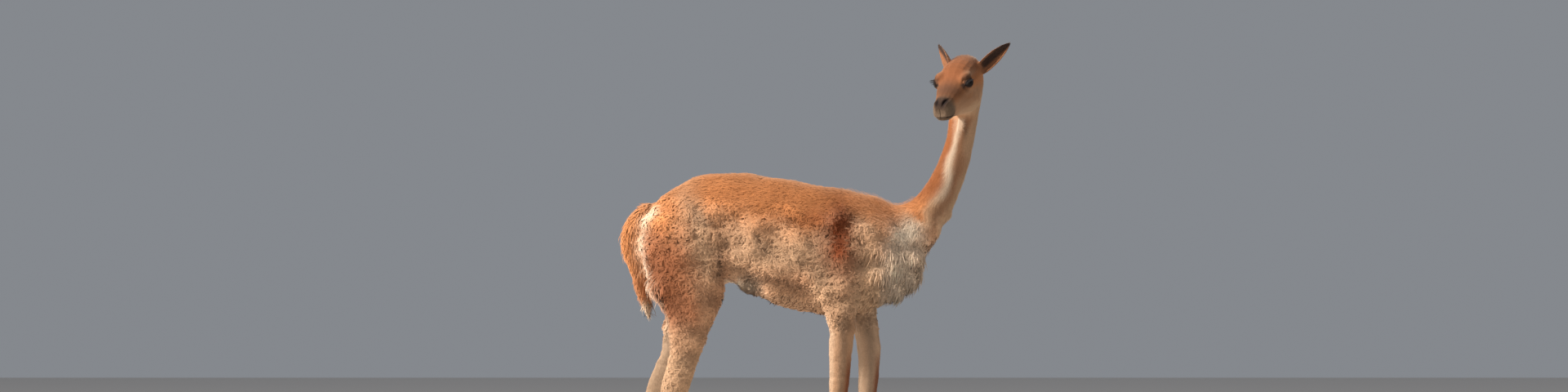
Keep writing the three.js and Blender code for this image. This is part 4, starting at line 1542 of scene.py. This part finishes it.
class VICUNA_OT_eyes(bpy.types.Operator):
    """Two dark glossy eyeballs with level pupils, and their lashes"""

    bl_idname = "vicuna.eyes"
    bl_label = "Eyes"

    def execute(self, context):
        colours = context.scene.vicuna_colours
        finish = eye_material()
        for side, out in SIDES.items():
            middle = eye_centre(side)
            bpy.ops.object.select_all(action="DESELECT")
            bpy.ops.mesh.primitive_uv_sphere_add(
                segments=64, ring_count=40, radius=EYE_RADIUS, location=middle
            )
            eye = context.active_object
            eye.name = eye.data.name = "eyeball_" + side
            bpy.ops.object.transform_apply(location=True, rotation=True, scale=True)
            self.paint(eye.data, out, colours)
            shade_smooth(eye.data)
            eye.data.materials.append(finish)
            finish_piece(eye, "eye", "eye_" + side)
        self.lashes(context)
        return {"FINISHED"}

    def paint(self, mesh, out, colours):
        """Iris, level pupil and the darker white of the eye, on the vertices."""
        head = on_head(vertex_places(mesh))
        _, _, along, across, front = eye_shape(head, out)
        iris = np.array(colours.iris)
        turn = np.arctan2(across, along)
        grain = 1.0 + 0.25 * np.sin(turn * 23.0) * np.cos(turn * 7.0)
        tint = iris[None] * grain[:, None]
        ring = ramp(np.hypot(along, across), 0.62, 0.72)[:, None]
        tint = tint * (1.0 - ring) + np.array(EYE_EDGE) * ring
        pupil = 1.0 - ramp(np.hypot(along / PUPIL[0], across / PUPIL[1]), 0.85, 1.1)
        tint = tint * (1.0 - pupil[:, None]) + PUPIL_TONE * pupil[:, None]
        store_tint(mesh, tint)

    def lashes(self, context):
        """Long dark lashes along each upper lid."""
        rng = np.random.default_rng(LASH_SEED)
        finish = bpy.data.materials.get("Lashes") or gloss_material(
            "Lashes", [level * 0.35 for level in context.scene.vicuna_colours.soot], 0.7, 0.0
        )
        long = context.scene.vicuna_coat.lash
        for side, out in SIDES.items():
            count = LASHES
            place = np.linspace(*LASHES_ALONG, count) + rng.normal(size=count) * 0.012
            reach = np.clip(1.0 - (place / LID_REACH) ** 2, 0.0, 1.0)
            over = lid_edge(place, UPPER_LID) + 0.06
            gaze, along, across = eye_ways(out)
            ahead = np.sqrt(np.clip(1.0 - place**2 - over**2, 0.0, 1.0))
            way = gaze * ahead[:, None] + along * place[:, None] + across * over[:, None]
            root = np.array(EYE_PLACE) * (1.0, out, 1.0) + way * LASH_ROOTS
            lie = unit(gaze * 0.9 + along * (place * 0.5)[:, None] - across * 0.35)
            normal = unit(across[None] * 1.0 + gaze * 0.2 + np.zeros((count, 3)))
            normal -= lie * np.sum(normal * lie, axis=1)[:, None]
            spots = {
                "root": off_head(root),
                "lie": way_off_head(lie),
                "normal": way_off_head(unit(normal)),
                "length": long * (0.75 + 0.25 * reach) * np.exp(rng.normal(size=count) * 0.1),
                "girth": np.full(count, LASH_GIRTH),
                "rise": rng.uniform(-0.1, 0.2, count),
                "bow": np.zeros(count),
                "curl": rng.uniform(0.0, 0.1, count),
                "bend": np.zeros(count),
                "phase": rng.uniform(0.0, 6.28, count),
                "turn": np.ones(count),
                "tint": np.tile(np.array(context.scene.vicuna_colours.soot), (count, 1)),
            }
            spots["place"] = unwrapped(spots["root"], spots["normal"])
            spots["facing"] = spots["normal"]
            mesh = tuft_mesh("lashes_" + side, spots, "strand")
            mesh.materials.append(finish)
            lashes = bpy.data.objects.new("lashes_" + side, mesh)
            context.scene.collection.objects.link(lashes)
            finish_piece(lashes, "coat")


class VICUNA_OT_nails(bpy.types.Operator):
    """Eight rounded dark nails, two on each foot"""

    bl_idname = "vicuna.nails"
    bl_label = "Nails"

    def execute(self, context):
        tone = context.scene.vicuna_colours.nail
        finish = gloss_material("Nail", tone, roughness=0.45, gloss=0.15)
        for node in NAILS:
            nail = copy_of(node)
            nail.name = nail.data.name = "horn_" + node[5:]
            modify(nail, "SUBSURF", levels=2, render_levels=2, subdivision_type="CATMULL_CLARK")
            shade_smooth(nail.data)
            nail.data.materials.append(finish)
            finish_piece(nail, "nail", node)
        return {"FINISHED"}


# Where the pieces of the coat meet: the least share of wool in a woolly piece, the flank's
# ends along the body, the thigh's lower end, the neck's middle at its foot and at its top, and
# how far ahead on the head the face starts.
WOOLLY = 0.45
FLANK_REAR = -0.27
FLANK_FRONT = -0.02
THIGH_FOOT = 0.44
NECK_ENDS = (0.78, 1.12)
NECK_MIDDLE = (MIDDLE_Y, MIDDLE_Y - 0.03)
FACE_STARTS = 0.075

# Long hair: thousands of tufts on a square metre, length as a share of the fringe's, width,
# rise, curl and the way it points.
LONG_HAIR = {
    "chest": (42.0, 0.56, 0.0026, 0.16, 0.14, (-0.12, 0.0, -1.0)),
    "belly": (13.0, 0.30, 0.0018, 0.20, 0.12, (-0.5, 0.0, -1.0)),
    "belly_tuft": (150.0, 0.40, 0.0018, 0.30, 0.10, (-0.8, 0.0, -0.8)),
    "buttocks": (48.0, 0.60, 0.0022, 0.25, 0.16, (-0.30, 0.0, -1.0)),
    "fuzz": (13.0, 0.30, 0.0010, 0.52, 0.10, (-1.0, 0.0, 0.1)),
    "poll": (150.0, 0.12, 0.0010, 0.60, 0.10, (-0.4, -0.2, 0.3)),
}
LONG_HAIR_WOOL = 0.12


class VICUNA_OT_coat(bpy.types.Operator):
    """Tufts of fleece and hair over the whole skin, in one piece for each part"""

    bl_idname = "vicuna.coat"
    bl_label = "Coat"

    def execute(self, context):
        skin = bpy.data.objects.get("skin")
        if skin is None:
            raise RuntimeError("the coat grows on the skin, so make the skin first")
        settings = context.scene.vicuna_coat
        curl = context.scene.vicuna_skin.curl
        mesh = skin.data
        stored = MEASURES + ("curl", "wool", "lie", "base")
        fields = {name: fetch(mesh, name) for name in stored}
        fields["tint"] = fetch(mesh, "tint")[:, :3]
        fields["root"] = vertex_places(mesh)
        fields["normal"] = unit(spread(vertex_normals(mesh), edge_ends(mesh), rounds=2))
        centres = curl_centres(fields["base"], fields["wool"], curl)
        finish = coat_material("Fleece", **FLEECE_FINISH)
        factors = {"density": settings.density, "length": settings.length}
        factors.update(curl=curl, upward=0.0)
        loose = {**factors, "upward": 0.9}
        for seed, (name, wanted, kind) in enumerate(self.parts(fields, fetch(mesh, "part"))):
            spots = grow(skin, fields, wanted, centres, COAT_SEED + seed, factors)
            tufts = tuft_mesh("coat_" + name, spots, kind)
            if len(tufts.polygons) >= TRIANGLE_LIMIT:
                raise RuntimeError(f"coat_{name} has {len(tufts.polygons)} triangles")
            self.hang(context, tufts, finish)
        for seed, (name, zone) in enumerate(self.long_hair(context, fields)):
            spots = grow(skin, zone, zone["thick"] > 0.5, None, LONG_HAIR_SEED + seed, loose)
            tufts = tuft_mesh("coat_" + name, spots, "strand")
            self.hang(context, tufts, finish)
        return {"FINISHED"}

    def hang(self, context, mesh, finish):
        """Adds a piece of coat to the scene."""
        mesh.materials.append(finish)
        piece = bpy.data.objects.new(mesh.name, mesh)
        context.scene.collection.objects.link(piece)
        finish_piece(piece, "coat")

    def parts(self, fields, regions):
        """Name, vertices and kind of tuft of each piece of the coat."""
        x, y, z = fields["root"].T
        found = []

        def is_in(*nodes):
            return np.isin(regions, [FLESH.index(node) for node in nodes])

        woolly = fields["wool"] > WOOLLY
        for side, mine in (("left", y >= MIDDLE_Y), ("right", y < MIDDLE_Y)):
            trunk = is_in("trunk") & mine
            wool = trunk & woolly
            found.append((f"back_{side}", trunk & ~woolly, "lock"))
            flank = (x >= FLANK_REAR) & (x < FLANK_FRONT)
            found.append((f"rump_{side}", wool & (x < FLANK_REAR), "curl"))
            found.append((f"flank_{side}", wool & flank, "curl"))
            found.append((f"shoulder_{side}", wool & (x >= FLANK_FRONT), "curl"))
            hind = is_in("hindleg_" + side)
            found.append((f"thigh_{side}", hind & (z >= THIGH_FOOT) & woolly, "curl"))
            found.append((f"shank_{side}", hind & (z < THIGH_FOOT) & woolly, "curl"))
            arm = is_in("foreleg_" + side)
            found.append((f"arm_{side}", arm & woolly, "curl"))
            found.append((f"cannons_{side}", (arm | hind) & ~woolly, "hair"))
            feet = is_in("foot_foreleg_" + side, "foot_hindleg_" + side)
            found.append((f"feet_{side}", feet, "hair"))
        side_of_neck = y >= np.interp(z, NECK_ENDS, NECK_MIDDLE)
        found.append(("neck_left", is_in("neck") & side_of_neck, "hair"))
        found.append(("neck_right", is_in("neck") & ~side_of_neck, "hair"))
        ahead = on_head(fields["root"])[:, 0]
        found.append(("face", is_in("head") & (ahead >= FACE_STARTS), "hair"))
        found.append(("crown", is_in("head") & (ahead < FACE_STARTS), "hair"))
        found.append(("ears", is_in(*EARS), "hair"))
        found.append(("tail", is_in("tail"), "strand"))
        return found

    def long_hair(self, context, fields):
        """Zones of long hair over the rest: chest, belly, buttocks, back and crown."""
        root = fields["root"]
        x, _, z = root.T
        facing = fields["normal"][:, 2]
        ahead, out, up = on_head(root).T
        crown = hill(ahead, -0.005, 0.030) * hill(out, 0.0, 0.035)
        places = {
            "chest": ramp(x, 0.12, 0.22) * ramp(z, 0.76, 0.64) * ramp(z, 0.54, 0.58),
            "belly": ramp(facing, -0.15, -0.6) * (z < 0.64) * (x > -0.20),
            "belly_tuft": spot(root, (-0.185, 0.575), (0.018, 0.035)) * (facing < -0.2),
            "buttocks": spot(root, (-0.470, 0.585), (0.030, 0.045)),
            "fuzz": ramp(facing, 0.15, 0.6) * (z > 0.76) * (x < 0.30) * (up < -0.30),
            "poll": crown * (up > 0.0) * (np.abs(out) < 0.040),
        }
        found = []
        for name, (thick, share, girth, rise, curl, way) in LONG_HAIR.items():
            amount = np.clip(places[name], 0.0, 1.0)
            zone = dict(fields)
            zone["thick"] = thick * amount * (z > 0.40)
            zone["length"] = share * context.scene.vicuna_coat.fringe * (0.6 + 0.4 * amount)
            even = {"girth": girth, "rise": rise, "curl": curl, "wool": LONG_HAIR_WOOL}
            zone.update({key: np.full(len(x), value) for key, value in even.items()})
            lie = np.tile(way, (len(x), 1))
            lie -= fields["normal"] * (0.8 * np.sum(lie * fields["normal"], axis=1))[:, None]
            zone["lie"] = unit(lie)
            found.append((name, zone))
        return found


# The lights: place, size, power and tone, all towards the middle of the animal.
LIGHTS = {
    "key": ((-7.9, -3.5, 6.9), 1.6, 1960.0, (1.0, 0.95, 0.90)),
    "fill": ((3.0, -9.0, 3.0), 6.0, 45.0, (1.0, 0.96, 0.92)),
    "back": ((1.0, 7.5, 6.0), 5.0, 160.0, (1.0, 0.97, 0.92)),
}
LIT_PLACE = (0.0, 0.0, 0.65)
SKY_TONE = (0.87, 0.92, 1.0, 1.0)
SKY_STRENGTH = 0.27
FLOOR_TONE = (0.70, 0.66, 0.62, 1.0)
FLOOR_SIZE = 60.0
SENSOR_WIDTH = 36.0


class VICUNA_OT_stage(bpy.types.Operator):
    """Pale floor, soft light and the camera"""

    bl_idname = "vicuna.stage"
    bl_label = "Stage"

    def execute(self, context):
        scene, settings = context.scene, context.scene.vicuna_stage
        bpy.ops.object.select_all(action="DESELECT")
        bpy.ops.mesh.primitive_plane_add(size=FLOOR_SIZE, location=(0.0, 0.0, 0.0))
        floor = context.active_object
        floor.name = floor.data.name = "floor"
        floor.data.materials.append(self.floor_material())
        for name, light in LIGHTS.items():
            self.light(name, *light)
        world = scene.world or bpy.data.worlds.new("Studio")
        scene.world = world
        world.use_nodes = True
        sky = world.node_tree.nodes["Background"]
        sky.inputs["Color"].default_value = SKY_TONE
        sky.inputs["Strength"].default_value = SKY_STRENGTH
        scene.view_settings.view_transform = "Standard"
        self.camera(scene, settings)
        return {"FINISHED"}

    def floor_material(self):
        """A plain pale finish."""
        made = bpy.data.materials.new("Floor")
        made.use_nodes = True
        shader = made.node_tree.nodes["Principled BSDF"]
        shader.inputs["Base Color"].default_value = FLOOR_TONE
        shader.inputs["Roughness"].default_value = 0.9
        return made

    def light(self, name, place, size, power, tone):
        """A square soft light that looks at the middle of the animal."""
        data = bpy.data.lights.new(name, "AREA")
        data.shape, data.size, data.energy, data.color = "SQUARE", size, power, tone
        lamp = bpy.data.objects.new(name, data)
        bpy.context.scene.collection.objects.link(lamp)
        lamp.location = place
        way = Vector(LIT_PLACE) - Vector(place)
        lamp.rotation_euler = way.to_track_quat("-Z", "Y").to_euler()

    def camera(self, scene, settings):
        """A camera side on to the animal."""
        data = bpy.data.cameras.new("camera")
        camera = bpy.data.objects.new("camera", data)
        scene.collection.objects.link(camera)
        data.sensor_width = SENSOR_WIDTH
        data.lens = SENSOR_WIDTH * settings.distance / settings.frame_width
        data.clip_end = 200.0
        place = Vector((settings.aim_x, MIDDLE_Y - settings.distance, settings.camera_height))
        camera.location = place
        way = Vector((settings.aim_x, MIDDLE_Y, settings.aim_z)) - place
        camera.rotation_euler = way.to_track_quat("-Z", "Y").to_euler()
        scene.camera = camera


class VICUNA_PT_panel(bpy.types.Panel):
    """Settings of the vicuna and one button for each group of pieces"""

    bl_label = "Vicuna"
    bl_idname = "VICUNA_PT_panel"
    bl_space_type = "VIEW_3D"
    bl_region_type = "UI"
    bl_category = "Vicuna"

    def draw(self, context):
        layout = self.layout
        for group in ("vicuna_colours", "vicuna_skin", "vicuna_coat", "vicuna_stage"):
            settings = getattr(context.scene, group)
            box = layout.box()
            for key in setting_names(settings):
                box.prop(settings, key)
        for operator in ORDER:
            layout.operator(f"vicuna.{operator}")


ORDER = ("skin", "eyes", "nails", "coat", "stage")
SETTINGS = {
    "vicuna_colours": VicunaColours,
    "vicuna_skin": VicunaSkin,
    "vicuna_coat": VicunaCoat,
    "vicuna_stage": VicunaStage,
}
CLASSES = tuple(SETTINGS.values()) + (
    VICUNA_OT_skin,
    VICUNA_OT_eyes,
    VICUNA_OT_nails,
    VICUNA_OT_coat,
    VICUNA_OT_stage,
    VICUNA_PT_panel,
)


def register():
    """Adds the settings, operators and panel."""
    for kind in CLASSES:
        bpy.utils.register_class(kind)
    for name, kind in SETTINGS.items():
        setattr(bpy.types.Scene, name, PointerProperty(type=kind))


def unregister():
    """Takes them away again."""
    for name in SETTINGS:
        delattr(bpy.types.Scene, name)
    for kind in reversed(CLASSES):
        bpy.utils.unregister_class(kind)


def main():
    """Builds every group of pieces."""
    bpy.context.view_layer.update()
    register()
    for operator in ORDER:
        getattr(bpy.ops.vicuna, operator)()


if __name__ == "__main__":
    main()
